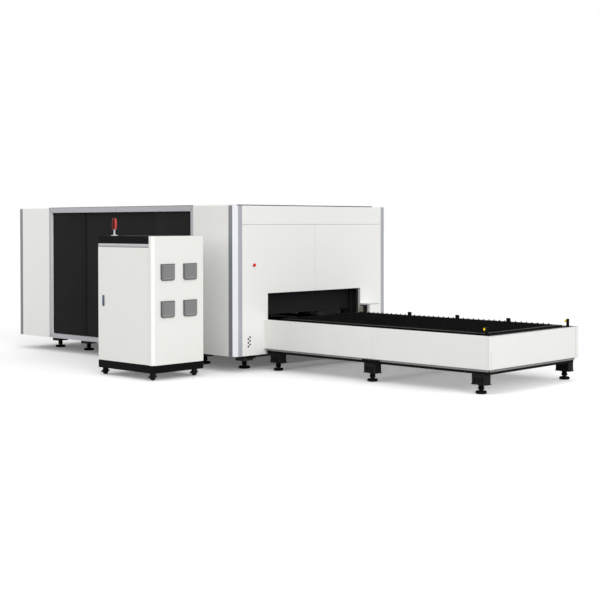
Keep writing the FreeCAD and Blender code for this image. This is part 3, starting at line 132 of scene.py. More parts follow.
def finned_bar(low, high, axis, fins=7, depth=5.0):
    """Motor housing: a square section whose long sides step in and out by depth to leave cooling fins,
    carried along the axis, 0 for x, 1 for y or 2 for z."""
    low, high = np.asarray(low, float), np.asarray(high, float)
    across, rise = [k for k in range(3) if k != axis]
    steps = np.linspace(0, 1, 4 * fins + 1)[1:-1]
    edge = 0.1 + 0.8 * np.repeat(steps[::2], 2)[:-2]
    notch = depth * np.tile([0, 0, 1, 1], len(edge))[1:len(edge) + 1]
    side = np.stack([edge, notch], -1)
    size = high - low
    turn = []
    for k in range(4):
        length, drop = (size[across], size[rise]) if k % 2 == 0 else (size[rise], size[across])
        s, d = side[:, 0] * length, side[:, 1]
        s, d = np.concatenate([[depth], s, [length - depth]]), np.concatenate([[0], d, [0]])
        turn.append({0: (s, d), 1: (drop - d, s), 2: (length - s, drop - d), 3: (d, length - s)}[k])
    flat = np.concatenate([np.stack(pair, -1) for pair in turn])
    outline = np.zeros((len(flat), 3))
    outline[:, across], outline[:, rise] = low[across] + flat[:, 0], low[rise] + flat[:, 1]
    outline[:, axis] = low[axis]
    return extruded(outline, np.eye(3)[axis] * size[axis])


def repeated(surface, shifts):
    """One copy of the surface at each shift."""
    points, blocks = surface
    shifts = np.asarray(shifts, float)
    step = np.arange(len(shifts))[:, None, None] * len(points)
    faces = [(block[None] + step).reshape(-1, block.shape[1]) for block in blocks]
    return (points[None] + shifts[:, None]).reshape(-1, 3), faces


def united(surfaces):
    """Several surfaces as one, each keeping its own points."""
    points, blocks, count = [], [], 0
    for own_points, own_blocks in surfaces:
        points.append(own_points)
        blocks.extend(block + count for block in own_blocks)
        count += len(own_points)
    return np.concatenate(points), blocks


def held(node):
    """The lowest and highest corner of a node of the frame, in millimetres from the cell's corner."""
    return (np.array(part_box(node)) - cell_corner) * 1000


def piece(name, surfaces, body, finish, stands_for=(), smooth_under=38):
    """Puts the surfaces into one mesh in the frame's own metres, point / 1000 + cell_corner, riding on a
    body; edges between faces that meet at more than smooth_under degrees stay sharp."""
    points, blocks = united(surfaces)
    corners = np.concatenate([block.ravel() for block in blocks]).astype(np.int32)
    sizes = np.concatenate([np.full(len(block), block.shape[1]) for block in blocks])
    mesh = bpy.data.meshes.new(name)
    mesh.vertices.add(len(points))
    mesh.vertices.foreach_set("co", (points / 1000 + cell_corner).astype(np.float32).ravel())
    mesh.loops.add(len(corners))
    mesh.loops.foreach_set("vertex_index", corners)
    mesh.polygons.add(len(sizes))
    mesh.polygons.foreach_set("loop_start", (np.cumsum(sizes) - sizes).astype(np.int32))
    mesh.polygons.foreach_set("use_smooth", np.ones(len(sizes), bool))
    mesh.update(calc_edges=True)
    mesh.set_sharp_from_angle(angle=np.radians(smooth_under))
    mesh.materials.append(finish)
    thing = bpy.data.objects.new(name, mesh)
    bpy.context.scene.collection.objects.link(thing)
    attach(thing, body)
    if stands_for:
        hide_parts(*stands_for)
    return thing


# ---------------------------------------------------------------------------------------------------
# Finishes
# ---------------------------------------------------------------------------------------------------


def seen(red, green, blue):
    """A colour as it is seen on a screen, 0 to 255, as a linear one."""
    c = np.array([red, green, blue]) / 255
    return (*np.where(c > 0.04045, ((c + 0.055) / 1.055) ** 2.4, c / 12.92).tolist(), 1.0)


class Wiring:
    """Shader nodes laid out by short calls; an input is a number, a colour or another node's socket."""

    def __init__(self, tree):
        """The node tree to lay out."""
        self.tree = tree

    def add(self, kind, out=0, settings=None, **inputs):
        """A new node's output; i0, i1 ... name its inputs by number, other words by label."""
        node = self.tree.nodes.new("ShaderNode" + kind)
        for key, value in (settings or {}).items():
            setattr(node, key, value)
        for key, value in inputs.items():
            socket = node.inputs[int(key[1:])] if key[1:].isdigit() else node.inputs[key.replace("_", " ")]
            if isinstance(value, bpy.types.NodeSocket):
                self.tree.links.new(value, socket)
            else:
                socket.default_value = value
        return node.outputs[out]

    def sum_of(self, operation, a, b):
        """One step of arithmetic on a and b."""
        return self.add("Math", settings={"operation": operation}, i0=a, i1=b)

    def span(self, value, start, end, low=0.0, high=1.0):
        """low + (high - low) (value - start) / (end - start), held between low and high."""
        return self.add("MapRange", i0=value, i1=start, i2=end, i3=low, i4=high)

    def blend(self, share, a, b, way="MIX"):
        """Two colours mixed, (1 - share) a + share b, or multiplied where way says so."""
        settings = {"data_type": "RGBA", "blend_type": way}
        return self.add("Mix", out=2, settings=settings, i0=share, i6=a, i7=b)


def effect(name, inputs, outputs):
    """An empty shader group with named inputs and outputs, and the wiring to fill it with."""
    group = bpy.data.node_groups.new(name, "ShaderNodeTree")
    for label, kind, value in inputs:
        socket = group.interface.new_socket(label, in_out="INPUT", socket_type="NodeSocket" + kind)
        socket.default_value = value
    for label, kind in outputs:
        group.interface.new_socket(label, in_out="OUTPUT", socket_type="NodeSocket" + kind)
    given = group.nodes.new("NodeGroupInput").outputs
    result = group.nodes.new("NodeGroupOutput").inputs
    return group, Wiring(group), given, result


def coat_of_paint():
    """Sprayed and baked paint: slow drifts of tone, the ripple of orange peel, and dust that thins out
    with height above the floor and lies on level faces."""
    group, w, given, result = effect(
        "coat_of_paint",
        [("Colour", "Color", (0.8, 0.8, 0.8, 1)), ("Dust Colour", "Color", (0.5, 0.48, 0.45, 1)),
         ("Tone Drift", "Float", 0.03), ("Peel Size", "Float", 140.0), ("Peel Depth", "Float", 0.1),
         ("Floor Dust", "Float", 0.1), ("Gloss", "Float", 0.4)],
        [("Colour", "Color"), ("Roughness", "Float"), ("Normal", "Vector")])
    place = w.add("TexCoord", out=3)
    drift = w.add("TexNoise", Vector=place, Scale=0.9, Detail=3.0, Roughness=0.55)
    tone = w.sum_of("MULTIPLY_ADD", w.sum_of("SUBTRACT", drift, 0.5), given["Tone Drift"])
    tone.node.inputs[2].default_value = 1.0
    toned = w.blend(1.0, given["Colour"], w.add("CombineColor", i0=tone, i1=tone, i2=tone), "MULTIPLY")
    height = w.add("SeparateXYZ", out=2, Vector=place)
    low = w.span(height, 0.75, 0.05)
    level = w.span(w.add("SeparateXYZ", out=2, Vector=w.add("NewGeometry", out=1)), 0.75, 0.95, 0.0, 0.7)
    cloud = w.span(w.add("TexNoise", Vector=place, Scale=6.0, Detail=6.0, Roughness=0.65), 0.35, 0.7)
    dust = w.sum_of("MULTIPLY", w.sum_of("MULTIPLY", w.sum_of("MAXIMUM", low, level), cloud),
                    given["Floor Dust"])
    w.tree.links.new(w.blend(dust, toned, given["Dust Colour"]), result["Colour"])
    smear = w.span(w.add("TexNoise", Vector=place, Scale=2.4, Detail=4.0), 0.3, 0.7, -0.05, 0.05)
    dulled = w.sum_of("ADD", w.sum_of("ADD", given["Gloss"], smear), w.sum_of("MULTIPLY", dust, 0.4))
    w.tree.links.new(dulled, result["Roughness"])
    peel = w.add("TexNoise", Vector=place, Scale=given["Peel Size"], Detail=2.0)
    w.tree.links.new(w.add("Bump", Strength=given["Peel Depth"], Distance=0.0015, Height=peel),
                     result["Normal"])
    return group


def powder_grain():
    """Fine-textured powder coat: a close pebble grain with paler points where it is rubbed."""
    group, w, given, result = effect(
        "powder_grain",
        [("Colour", "Color", (0.02, 0.02, 0.02, 1)), ("Rubbed Colour", "Color", (0.1, 0.1, 0.1, 1)),
         ("Rubbing", "Float", 0.3), ("Grain Size", "Float", 420.0), ("Grain Depth", "Float", 0.25),
         ("Gloss", "Float", 0.5)],
        [("Colour", "Color"), ("Roughness", "Float"), ("Normal", "Vector")])
    place = w.add("TexCoord", out=3)
    grain = w.add("TexNoise", Vector=place, Scale=given["Grain Size"], Detail=2.0, Roughness=0.6)
    patch = w.span(w.add("TexNoise", Vector=place, Scale=3.5, Detail=5.0, Roughness=0.6), 0.45, 0.75)
    rubbed = w.sum_of("MULTIPLY", w.sum_of("MULTIPLY", w.span(grain, 0.4, 0.7), patch), given["Rubbing"])
    w.tree.links.new(w.blend(rubbed, given["Colour"], given["Rubbed Colour"]), result["Colour"])
    w.tree.links.new(w.sum_of("ADD", given["Gloss"], w.span(patch, 0.0, 1.0, -0.04, 0.08)),
                     result["Roughness"])
    w.tree.links.new(w.add("Bump", Strength=given["Grain Depth"], Distance=0.001, Height=grain),
                     result["Normal"])
    return group


def rolling_lines():
    """Bare metal with long fine lines along one direction, and cloudy handling marks."""
    group, w, given, result = effect(
        "rolling_lines",
        [("Colour", "Color", (0.5, 0.5, 0.5, 1)), ("Stain Colour", "Color", (0.2, 0.18, 0.16, 1)),
         ("Stain", "Float", 0.2), ("Line Depth", "Float", 0.2), ("Gloss", "Float", 0.35),
         ("Stretch", "Vector", (2.0, 300.0, 300.0))],
        [("Colour", "Color"), ("Roughness", "Float"), ("Normal", "Vector")])
    place = w.add("TexCoord", out=3)
    scaled = w.add("VectorMath", settings={"operation": "MULTIPLY"}, i0=place, i1=given["Stretch"])
    lines = w.add("TexNoise", Vector=scaled, Scale=1.0, Detail=3.0, Roughness=0.6)
    cloud = w.span(w.add("TexNoise", Vector=place, Scale=5.0, Detail=6.0, Roughness=0.65), 0.42, 0.75)
    shade = w.span(lines, 0.25, 0.75, 0.88, 1.06)
    lined = w.blend(1.0, given["Colour"], w.add("CombineColor", i0=shade, i1=shade, i2=shade), "MULTIPLY")
    stained = w.sum_of("MULTIPLY", cloud, given["Stain"])
    w.tree.links.new(w.blend(stained, lined, given["Stain Colour"]), result["Colour"])
    w.tree.links.new(w.sum_of("ADD", w.sum_of("ADD", given["Gloss"], w.span(lines, 0.3, 0.7, -0.06, 0.06)),
                              w.sum_of("MULTIPLY", stained, 0.3)), result["Roughness"])
    w.tree.links.new(w.add("Bump", Strength=given["Line Depth"], Distance=0.0006, Height=lines),
                     result["Normal"])
    return group


def face_heading():
    """Masks, each from 0 to 1: Slanted where a face stands at 45 degrees between x and y, Long Wall where
    it looks along y, End Wall where it looks along x, Level where it looks up, and High above Height."""
    group, w, given, result = effect(
        "face_heading", [("Height", "Float", 1.0)],
        [(label, "Float") for label in ("Slanted", "Long Wall", "End Wall", "Level", "High")])
    parts = w.add("SeparateXYZ", Vector=w.add("NewGeometry", out=3)).node.outputs
    product = w.sum_of("ABSOLUTE", w.sum_of("MULTIPLY", parts[0], parts[1]), 0.0)
    w.tree.links.new(w.span(product, 0.2, 0.3), result["Slanted"])
    for label, part in (("Long Wall", parts[1]), ("End Wall", parts[0])):
        w.tree.links.new(w.span(w.sum_of("ABSOLUTE", part, 0.0), 0.9, 0.98), result[label])
    w.tree.links.new(w.span(parts[2], 0.9, 0.98), result["Level"])
    height = w.add("SeparateXYZ", out=2, Vector=w.add("TexCoord", out=3))
    over = w.sum_of("SUBTRACT", height, given["Height"])
    w.tree.links.new(w.span(over, -0.001, 0.001), result["High"])
    return group


paint_film, grain_film, metal_film, heading_mask = (
    coat_of_paint(), powder_grain(), rolling_lines(), face_heading())


def finish(name, film, specular, fixed=None, **values):
    """A material: one film group with its own values feeds a Principled shader, on which the specular
    level and any other fixed values are set."""
    material = bpy.data.materials.new(name)
    material.use_nodes = True
    tree = material.node_tree
    surface = tree.nodes["Principled BSDF"]
    for key, value in {"Specular IOR Level": specular, **(fixed or {})}.items():
        surface.inputs[key].default_value = value
    group = tree.nodes.new("ShaderNodeGroup")
    group.node_tree = film
    for key, value in values.items():
        group.inputs[key.replace("_", " ")].default_value = value
    tree.links.new(group.outputs["Colour"], surface.inputs["Base Color"])
    tree.links.new(group.outputs["Roughness"], surface.inputs["Roughness"])
    tree.links.new(group.outputs["Normal"], surface.inputs["Normal"])
    material.diffuse_color = group.inputs["Colour"].default_value[:]
    return material


def tinted(material, tones, height=1.0):
    """Lays further tones over a finish's colour, each where its mask of face_heading is 1."""
    tree = material.node_tree
    film = next(n for n in tree.nodes if n.type == "GROUP")
    mask = tree.nodes.new("ShaderNodeGroup")
    mask.node_tree = heading_mask
    mask.inputs["Height"].default_value = height
    colour = film.inputs["Colour"].default_value[:]
    for label, tone in tones:
        colour = Wiring(tree).blend(mask.outputs[label], colour, seen(*tone))
    tree.links.new(colour, film.inputs["Colour"])
    return material


finishes = {
    "white_paint": finish("white_sheet_paint", paint_film, 0.35, Colour=seen(238, 238, 235),
                          Tone_Drift=0.02, Peel_Depth=0.05, Floor_Dust=0.10, Gloss=0.42),
    "cabinet_paint": finish("cabinet_white_paint", paint_film, 0.35, Colour=seen(237, 237, 233),
                            Tone_Drift=0.02, Peel_Size=220.0, Peel_Depth=0.06, Floor_Dust=0.06,
                            Gloss=0.42),
    "corner_paint": finish("corner_profile_paint", paint_film, 0.35, Colour=seen(171, 174, 181),
                           Tone_Drift=0.02, Peel_Depth=0.03, Floor_Dust=0.05, Gloss=0.22),
    "frame_grey": finish("frame_grey_paint", paint_film, 0.4, Colour=seen(180, 181, 187), Tone_Drift=0.03,
                         Peel_Depth=0.05, Floor_Dust=0.12, Gloss=0.4),
    "trim_grey": finish("trim_grey_paint", paint_film, 0.45, Colour=seen(174, 175, 180), Tone_Drift=0.02,
                        Peel_Depth=0.04, Floor_Dust=0.0, Gloss=0.35),
    "cover_grey": finish("filter_cover_plastic", grain_film, 0.35, Colour=seen(92, 93, 93),
                         Rubbed_Colour=seen(150, 150, 150), Rubbing=0.15, Grain_Depth=0.15, Gloss=0.55),
    "dark_sheet": finish("dark_window_sheet", paint_film, 0.05, Colour=seen(31, 31, 31),
                         Dust_Colour=seen(52, 52, 50), Tone_Drift=0.12, Peel_Size=90.0, Peel_Depth=0.03,
                         Floor_Dust=0.1, Gloss=0.5),
    "black_paint": finish("black_powder_coat", grain_film, 0.06, Colour=seen(14, 14, 14),
                          Rubbed_Colour=seen(34, 34, 34), Rubbing=0.3, Gloss=0.55),
    "bed_paint": finish("bed_grey_paint", paint_film, 0.2, Colour=seen(30, 31, 32), Tone_Drift=0.08,
                        Peel_Size=90.0, Peel_Depth=0.2, Floor_Dust=0.15, Gloss=0.5),
    "bare_steel": finish("ground_steel", metal_film, 0.5, {"Metallic": 1.0}, Colour=seen(176, 177, 178),
                         Stain=0.2, Gloss=0.3),
    "dark_steel": finish("sooted_steel", grain_film, 0.05, Colour=seen(10, 10, 10),
                         Rubbed_Colour=seen(34, 33, 32), Rubbing=0.3, Grain_Size=300.0, Grain_Depth=0.4,
                         Gloss=0.55),
    "drive_black": finish("motor_black_paint", paint_film, 0.45, Colour=seen(34, 34, 37), Tone_Drift=0.06,
                          Peel_Depth=0.12, Floor_Dust=0.1, Gloss=0.4),
    "motor_beige": finish("gear_motor_paint", paint_film, 0.4, Colour=seen(196, 188, 172), Tone_Drift=0.06,
                          Peel_Depth=0.12, Floor_Dust=0.1, Gloss=0.42),
    "head_metal": finish("anodised_aluminium", metal_film, 0.5, {"Metallic": 0.9},
                         Colour=seen(168, 170, 174), Stain=0.05, Line_Depth=0.1, Gloss=0.28,
                         Stretch=(260.0, 260.0, 3.0)),
    "rack_metal": finish("drive_case_paint", paint_film, 0.4, Colour=seen(186, 188, 189), Tone_Drift=0.04,
                         Peel_Depth=0.1, Floor_Dust=0.05, Gloss=0.45),
    "sensor_yellow": finish("sensor_yellow_plastic", grain_film, 0.2, Colour=seen(255, 226, 12),
                            Rubbed_Colour=seen(255, 230, 80), Rubbing=0.2, Grain_Depth=0.05, Gloss=0.35),
    "stop_red": finish("stop_button_plastic", grain_film, 0.2, Colour=seen(236, 4, 4),
                       Rubbed_Colour=seen(240, 60, 50), Rubbing=0.2, Grain_Depth=0.04, Gloss=0.28),
    "lamp_red": finish("lamp_red_lens", grain_film, 0.5,
                       {"Transmission Weight": 1.0, "IOR": 1.45, "Specular Tint": (1.0, 0.12, 0.12, 1.0)},
                       Colour=seen(255, 104, 100), Rubbed_Colour=seen(255, 120, 116), Rubbing=0.1,
                       Grain_Depth=0.03, Gloss=0.14),
    "lamp_grey": finish("lamp_stem_plastic", grain_film, 0.4, Colour=seen(206, 208, 214),
                        Rubbed_Colour=seen(226, 226, 228), Rubbing=0.2, Grain_Depth=0.05, Gloss=0.4),
    "lever_blue": finish("lever_coat", grain_film, 0.4, Colour=seen(78, 84, 112),
                         Rubbed_Colour=seen(120, 124, 146), Rubbing=0.3, Grain_Depth=0.08, Gloss=0.42),
    "caster_metal": finish("caster_fork_coat", grain_film, 0.2, Colour=seen(22, 22, 23),
                           Rubbed_Colour=seen(58, 58, 58), Rubbing=0.35, Gloss=0.45),
    "caster_tread": finish("caster_rubber", grain_film, 0.12, Colour=seen(20, 20, 21),
                           Rubbed_Colour=seen(46, 45, 44), Rubbing=0.5, Grain_Size=700.0, Gloss=0.6),
}
zinc = finish("zinc_plated_screws", metal_film, 0.5, {"Metallic": 1.0}, Colour=seen(150, 150, 152),
              Stain=0.3, Gloss=0.35, Stretch=(200.0, 200.0, 200.0))
copper = finish("nozzle_copper", metal_film, 0.5, {"Metallic": 1.0}, Colour=seen(206, 138, 92), Stain=0.2,
                Gloss=0.25, Stretch=(200.0, 200.0, 20.0))

shutter_sheet = finish("shutter_black_sheet", paint_film, 0.05, Colour=seen(33, 33, 34), Tone_Drift=0.15,
                       Peel_Size=90.0, Peel_Depth=0.05, Floor_Dust=0.05, Gloss=0.5)
ledge_grey = finish("ledge_grey_paint", paint_film, 0.4, Colour=seen(136, 136, 134), Tone_Drift=0.04,
                    Peel_Depth=0.05, Floor_Dust=0.1, Gloss=0.4)
bracket_black = finish("bracket_black_paint", grain_film, 0.1, Colour=seen(27, 27, 28),
                       Rubbed_Colour=seen(44, 44, 44), Rubbing=0.3, Gloss=0.5)
# the pallet frames' level tops are painted lighter than their sides, a painted highlight of the light from
# above
pallet_steel = tinted(finish("pallet_sooted_steel", grain_film, 0.05, Colour=seen(14, 14, 14),
                             Rubbed_Colour=seen(60, 58, 56), Rubbing=0.35, Grain_Size=260.0,
                             Grain_Depth=0.4, Gloss=0.55), [("Level", (26, 26, 26))])
comb_steel = finish("comb_plate_steel", metal_film, 0.5, {"Metallic": 0.1}, Colour=seen(62, 61, 60),
                    Stain=0.3, Gloss=0.45, Stretch=(200.0, 200.0, 200.0))
# the lamp's dark inner tube, painted shade inside the lens
lens_shade_core = finish("lamp_painted_shade_tube", grain_film, 0.3, Colour=seen(40, 34, 34),
                   Rubbed_Colour=seen(60, 44, 44), Rubbing=0.2, Gloss=0.4)

# the corner profile's slanted face is painted paler, a painted highlight, and its strips on the long walls
# darker, a painted reflection of shade; the trim's upper half is paler; the tones of the window frame, the
# filter covers and the cabinet's slanted corner follow, each under its own note
tinted(finishes["corner_paint"], [("Long Wall", (132, 135, 141)), ("Slanted", (238, 239, 243))])
# the window frame's reveals are painted near white, painted light on reveals that lie in shade, and its
# head a touch darker
tinted(finishes["frame_grey"], [("High", (178, 179, 184)), ("End Wall", (245, 246, 248))], height=2.0745)
tinted(finishes["trim_grey"], [("High", (198, 200, 204))], height=1.64)
# the filter covers' faces are painted paler than their sides, painted shade on the sides
tinted(finishes["cover_grey"], [("End Wall", (146, 147, 147))])
# the cabinet's slanted corner is painted near white, a painted highlight
tinted(finishes["cabinet_paint"], [("Slanted", (252, 252, 250))])

own_finish = {"exchange_shutter": shutter_sheet, "shutter_posts": shutter_sheet, "skirt_ledge": ledge_grey,
              "leg_brackets": bracket_black, "outer_pallet_frame": pallet_steel,
              "inner_pallet_frame": pallet_steel}
for entry in frame["record"]["subparts"]:
    carried = frame["nodes"][entry["node"]]
    for place in carried.material_slots:
        place.material = own_finish.get(entry["node"], finishes[entry["material_slot"]])

# ---------------------------------------------------------------------------------------------------
# Levelling feet and casters
# ---------------------------------------------------------------------------------------------------


def levelling_foot(stem_top, pad_radius):
    """Thick pad with a rounded rim, a short narrow neck, a six-sided nut and above it a wide sleeve whose
    radius steps with each turn of its thread."""
    a = np.linspace(-np.pi / 2, np.pi / 2, 9)
    rim = np.stack([17 + 17 * np.sin(a), pad_radius - 17 + 17 * np.cos(a)], -1)
    neck = [(35.5, 34), (37, 23), (44, 21), (46, 28)]
    thread = np.arange(48.0, stem_top - 3.0, 3.0)
    sleeve = np.stack([thread, np.where(np.arange(len(thread)) % 2, 30.5, 32.5)], -1)
    rod = turned(np.concatenate([rim, neck, sleeve, [(stem_top, 32.0)]]), (0, 0, 0), up, 28)
    nut = [(52, 33), (54.5, 37), (68.5, 37), (71, 33)]
    return united([rod, turned(nut, (0, 0, 0), up, 6)])


bed_feet = [(x, y, 0) for x in (-305, -1080, -3700, -4433) for y in (450, 2468)]
table_feet = [(x, y, 0) for x in (193, 1794, 3385) for y in (586, 2332)]
piece("levelling_feet_turned", [repeated(levelling_foot(105, 78), bed_feet),
                                repeated(levelling_foot(102, 65), table_feet)],
      "machine", finishes["black_paint"], ["levelling_feet"])


axle_height, trail = 36, 17


def caster_wheel(x, y):
    """Tread with a groove round its middle and a dished hub on each side."""
    half = [(18, 9), (18, 13), (14.5, 15), (14.5, 26), (18, 29.5), (16.5, 33.5), (12, 36), (3.2, 36),
            (2, 33.5)]
    profile = [(-s, r) for s, r in half] + half[::-1]
    return turned(profile, (x, y, axle_height), along_x, 36)


def caster_fork(x, y):
    """Crown plate, two rounded cheeks, a hood arched over the wheel, the axle's bolt ends, the brake's
    sloping pedal and a toe guard on the other side."""
    crown = eased_block((x - 23.5, y - 29, 73.5), (x + 23.5, y + 29, 83.5), 4)
    a = np.linspace(np.radians(200), np.radians(340), 11)
    foot = np.stack([np.zeros(11), 11 * np.cos(a), axle_height + 11 * np.sin(a)], -1)
    cheek = np.concatenate([[(0, -29, 78)], foot, [(0, 29, 78)]]) + (0, y, 0)
    cheeks = [extruded(cheek + (x + side * 21.5 - 2, 0, 0), (4, 0, 0)) for side in (-1, 1)]
    b = np.linspace(np.radians(18), np.radians(162), 15)
    arch = np.stack([np.cos(b), np.sin(b)], -1)
    arc = np.concatenate([arch * 39.4, arch[::-1] * 37.5])
    arch_outline = np.column_stack([np.full(30, x - 20.0), y + arc[:, 0], axle_height + arc[:, 1]])
    hood = extruded(arch_outline, (40, 0, 0))
    centre = (x, y, axle_height)
    bolt = turned([(-26.5, 5), (-26, 6.5), (-23.4, 7)], centre, along_x, 6)
    nut = turned([(23.4, 7.5), (26, 7.5), (26.8, 6)], centre, along_x, 6)
    axle = turned([(-23.4, 4.9), (23.4, 4.9)], centre, along_x, 12)
    pedal = np.array([(0, -33, 52), (0, -61, 30), (0, -65, 30), (0, -65, 34), (0, -35, 58), (0, -26, 66),
                      (0, -24, 60)]) + (x - 19, y, 0)
    guard = np.array([(0, 24, 60), (0, 26, 66), (0, 42, 56), (0, 56, 40), (0, 56, 35), (0, 52, 36),
                      (0, 39, 51)]) + (x - 19, y, 0)
    return [crown, *cheeks, hood, bolt, nut, axle, extruded(pedal, (38, 0, 0)), extruded(guard, (38, 0, 0))]


for place, x, pin_y in (("front_left", -1151, -1162), ("front_right", -214, -1162),
                        ("rear_left", -1151, -492), ("rear_right", -214, -492)):
    piece("caster_wheel_turned_" + place, [caster_wheel(x, pin_y - trail)], "wheel_" + place,
          finishes["caster_tread"], ["caster_wheel_" + place])
    piece("caster_fork_formed_" + place, caster_fork(x, pin_y - trail), "caster_" + place,
          finishes["caster_metal"], ["caster_fork_" + place])

# ---------------------------------------------------------------------------------------------------
# Pallets
# ---------------------------------------------------------------------------------------------------


slat_thickness, slat_pitch = 6, 80


def toothed_slats(node):
    """Upright slats across a pallet; the top edge rises and falls between the tooth tips and the gullets,
    with a small flat on each tip. The teeth between the end ones are worn 9 mm lower."""
    (x0, y0, base), (x1, y1, tip) = held(node)
    teeth, gullet, worn = 40, 28.0, 9
    pitch = (y1 - y0) / teeth
    k = np.arange(teeth)[:, None]
    y = (y0 + pitch * (k + np.array([0.0, 0.44, 0.56]))).ravel()
    z = np.tile([tip - gullet, tip - worn, tip - worn], teeth)
    z[[1, 2, -2, -1]] = tip
    top = np.stack([np.zeros(len(y)), y, z], -1)
    outline = np.concatenate([[(0, y1, base), (0, y0, base)], top, [(0, y1, tip - gullet + 2)]])
    slat = extruded(outline, (slat_thickness, 0, 0))
    return repeated(slat, [(x, 0, 0) for x in np.arange(x0, x1 - slat_thickness + 1, slat_pitch)])


def slat_combs(node):
    """Comb teeth that lie in a row on the long beams' tops, two to a slat, and keep the slats apart."""
    (x0, y0, _), (x1, y1, tip) = held(node)
    pitch = slat_pitch / 2
    tooth = [eased_block((x0 + 18, y, tip - 23), (x0 + 42, y + 22, tip - 19), 1, 1)
             for y in (y0 - 45, y1 + 23)]
    return repeated(united(tooth), [(x, 0, 0) for x in np.arange(0, x1 - x0 - pitch, pitch)])


for level in ("outer", "inner"):
    piece(level + "_slat_combs", [slat_combs(level + "_pallet_slats")], level + "_pallet",
          comb_steel)
    piece(level + "_slats_toothed", [toothed_slats(level + "_pallet_slats")], level + "_pallet",
          finishes["dark_steel"], [level + "_pallet_slats"], smooth_under=20)

# ---------------------------------------------------------------------------------------------------
# Transfer chains
# ---------------------------------------------------------------------------------------------------


links, link_pitch, link_end = 272, 25.5, 4.8
idler_x, shaft_z = 3430.0, 335.0


def chain_path(count):
    """Points of the chain's pins, equal steps round a stadium: two straight runs between the wheel
    centres and a half circle at each end."""
    x0, x1, z, r = 110.0, idler_x, shaft_z, 47.0
    run, bend = x1 - x0, np.pi * r
    s = np.arange(count) * (2 * (run + bend)) / count
    heading = np.pi * np.clip((s - run) / bend, 0, 1) + np.pi * np.clip((s - 2 * run - bend) / bend, 0, 1)
    stages = [s < run, s < run + bend, s < 2 * run + bend, s < 2 * (run + bend)]
    px = np.select(stages, [x1 - s, x0 - r * np.sin(heading), x0 + (s - run - bend),
                            x1 + r * np.sin(heading - np.pi)])
    pz = np.select(stages, [np.full(count, z + r), z + r * np.cos(heading), np.full(count, z - r),
                            z - r * np.cos(heading - np.pi)])
    return np.stack([px, pz], -1)


def chain(y):
    """Roller chain: each pair of pins is joined by two side plates with round ends, close together and
    then wide apart by turns, with a roller on every pin."""
    pins = chain_path(links)
    ahead = np.roll(pins, -1, 0) - pins
    length = np.linalg.norm(ahead, axis=1)
    t, n = ahead / length[:, None], np.stack([-ahead[:, 1], ahead[:, 0]], -1) / length[:, None]
    a = np.linspace(np.pi / 2, 3 * np.pi / 2, 5)
    arc = link_end * np.stack([np.cos(a), np.sin(a)], -1)
    shape = np.concatenate([arc, (link_pitch, 0) - arc])
    flat = pins[:, None] + shape[None, :, :1] * t[:, None] + shape[None, :, 1:] * n[:, None]
    offset = np.where(np.arange(links) % 2, 5.0, 7.0)
    plates = []
    for side in (-1, 1):
        middle = y + side * offset[:, None, None]
        faces = []
        for depth in (-0.8, 0.8):
            across = np.broadcast_to(middle + depth, flat.shape[:2] + (1,))
            faces.append(np.concatenate([flat[:, :, :1], across, flat[:, :, 1:]], -1))
        rings = np.stack([faces[1][:, ::-1], faces[0][:, ::-1]], 1)
        corners = rings.shape[2]
        step = np.arange(links)[:, None, None] * 2 * corners
        blocks = [(block[None] + step).reshape(-1, block.shape[1]) for block in lofted(rings[0])[1]]
        plates.append((rings.reshape(-1, 3), blocks))
    roller = turned([(-4, 3.6), (4, 3.6)], (0, 0, 0), along_y, 8)
    shifts = np.stack([pins[:, 0], np.full(links, y), pins[:, 1]], -1)
    return plates + [repeated(roller, shifts)]


def idler(y, wall):
    """Idler wheel in the far end of the chain, with its shoulder bolt in the side plate."""
    inward = 1 if y > wall else -1
    wheel = turned([(-7, 12), (-7, 36), (-5, 40), (5, 40), (7, 36), (7, 12)], (idler_x, y, shaft_z),
                   along_y, 20)
    foot = (idler_x, min(wall, y - inward * 6), shaft_z)
    return [wheel, turned([(0, 15), (abs(y - wall) - 6, 15)], foot, along_y, 16)]


loops = [part for y, wall in ((574.0, 558.0), (2344.0, 2360.0)) for part in chain(y) + idler(y, wall)]
piece("transfer_chains_linked", loops, "machine", finishes["bare_steel"], ["transfer_chains"])

# ---------------------------------------------------------------------------------------------------
# Small things on the cell and the table
# ---------------------------------------------------------------------------------------------------

button_y, button_z = 335, 1372
piece("stop_button_mushroom",
      [turned([(-24, 10), (0, 10), (0.5, 18), (2, 20.4), (6, 21), (9, 20.6), (13, 18.5), (16.5, 14),
               (18.6, 9), (19.4, 4), (19.6, 1)], (6, button_y, button_z), along_x, 32)],
      "stop_button", finishes["stop_red"], ["stop_button"])
piece("stop_button_collar", [hoop([(0, 22.6), (2.5, 22.6), (3.5, 23.4), (3.5, 25.6), (2.5, 27), (0, 27)],
                                  (0.1, button_y, button_z), along_x)],
      "machine", finishes["lamp_grey"])

# the drip edge caps the window frame's head, and a black seal runs along the roof's end, its black a
# painted line of shade at the roof's edge
roof_low, roof_high = held("roof_panels")
frame_low, frame_high = held("window_frame")
drip = np.array([(0, -1.4, 7), (0, -1.4, 11.6), (0, 40, 11.6), (0, 40, 8.4), (0, 0.4, 8.4), (0, 0.4, 7)])
drip_start, drip_end = frame_low[0] + 20, frame_high[0] - 20
drip_edge = extruded(drip + (drip_start, 0, frame_high[2] - 8.2), (drip_end - drip_start, 0, 0))
seal_section = np.array([(0.2, 0, 0), (7, 0, 0), (8.5, 0, 2.5), (8.0, 0, 8), (4, 0, 11), (0.2, 0, 11.4)])
seal_start, seal_end = roof_low[1] + 40, 2720.0
seal = extruded(seal_section + (roof_high[0], seal_start, roof_low[2] + 0.2), (0, seal_end - seal_start, 0))
piece("drip_edge_and_roof_shade_seal", [drip_edge, seal], "machine", finishes["caster_tread"])


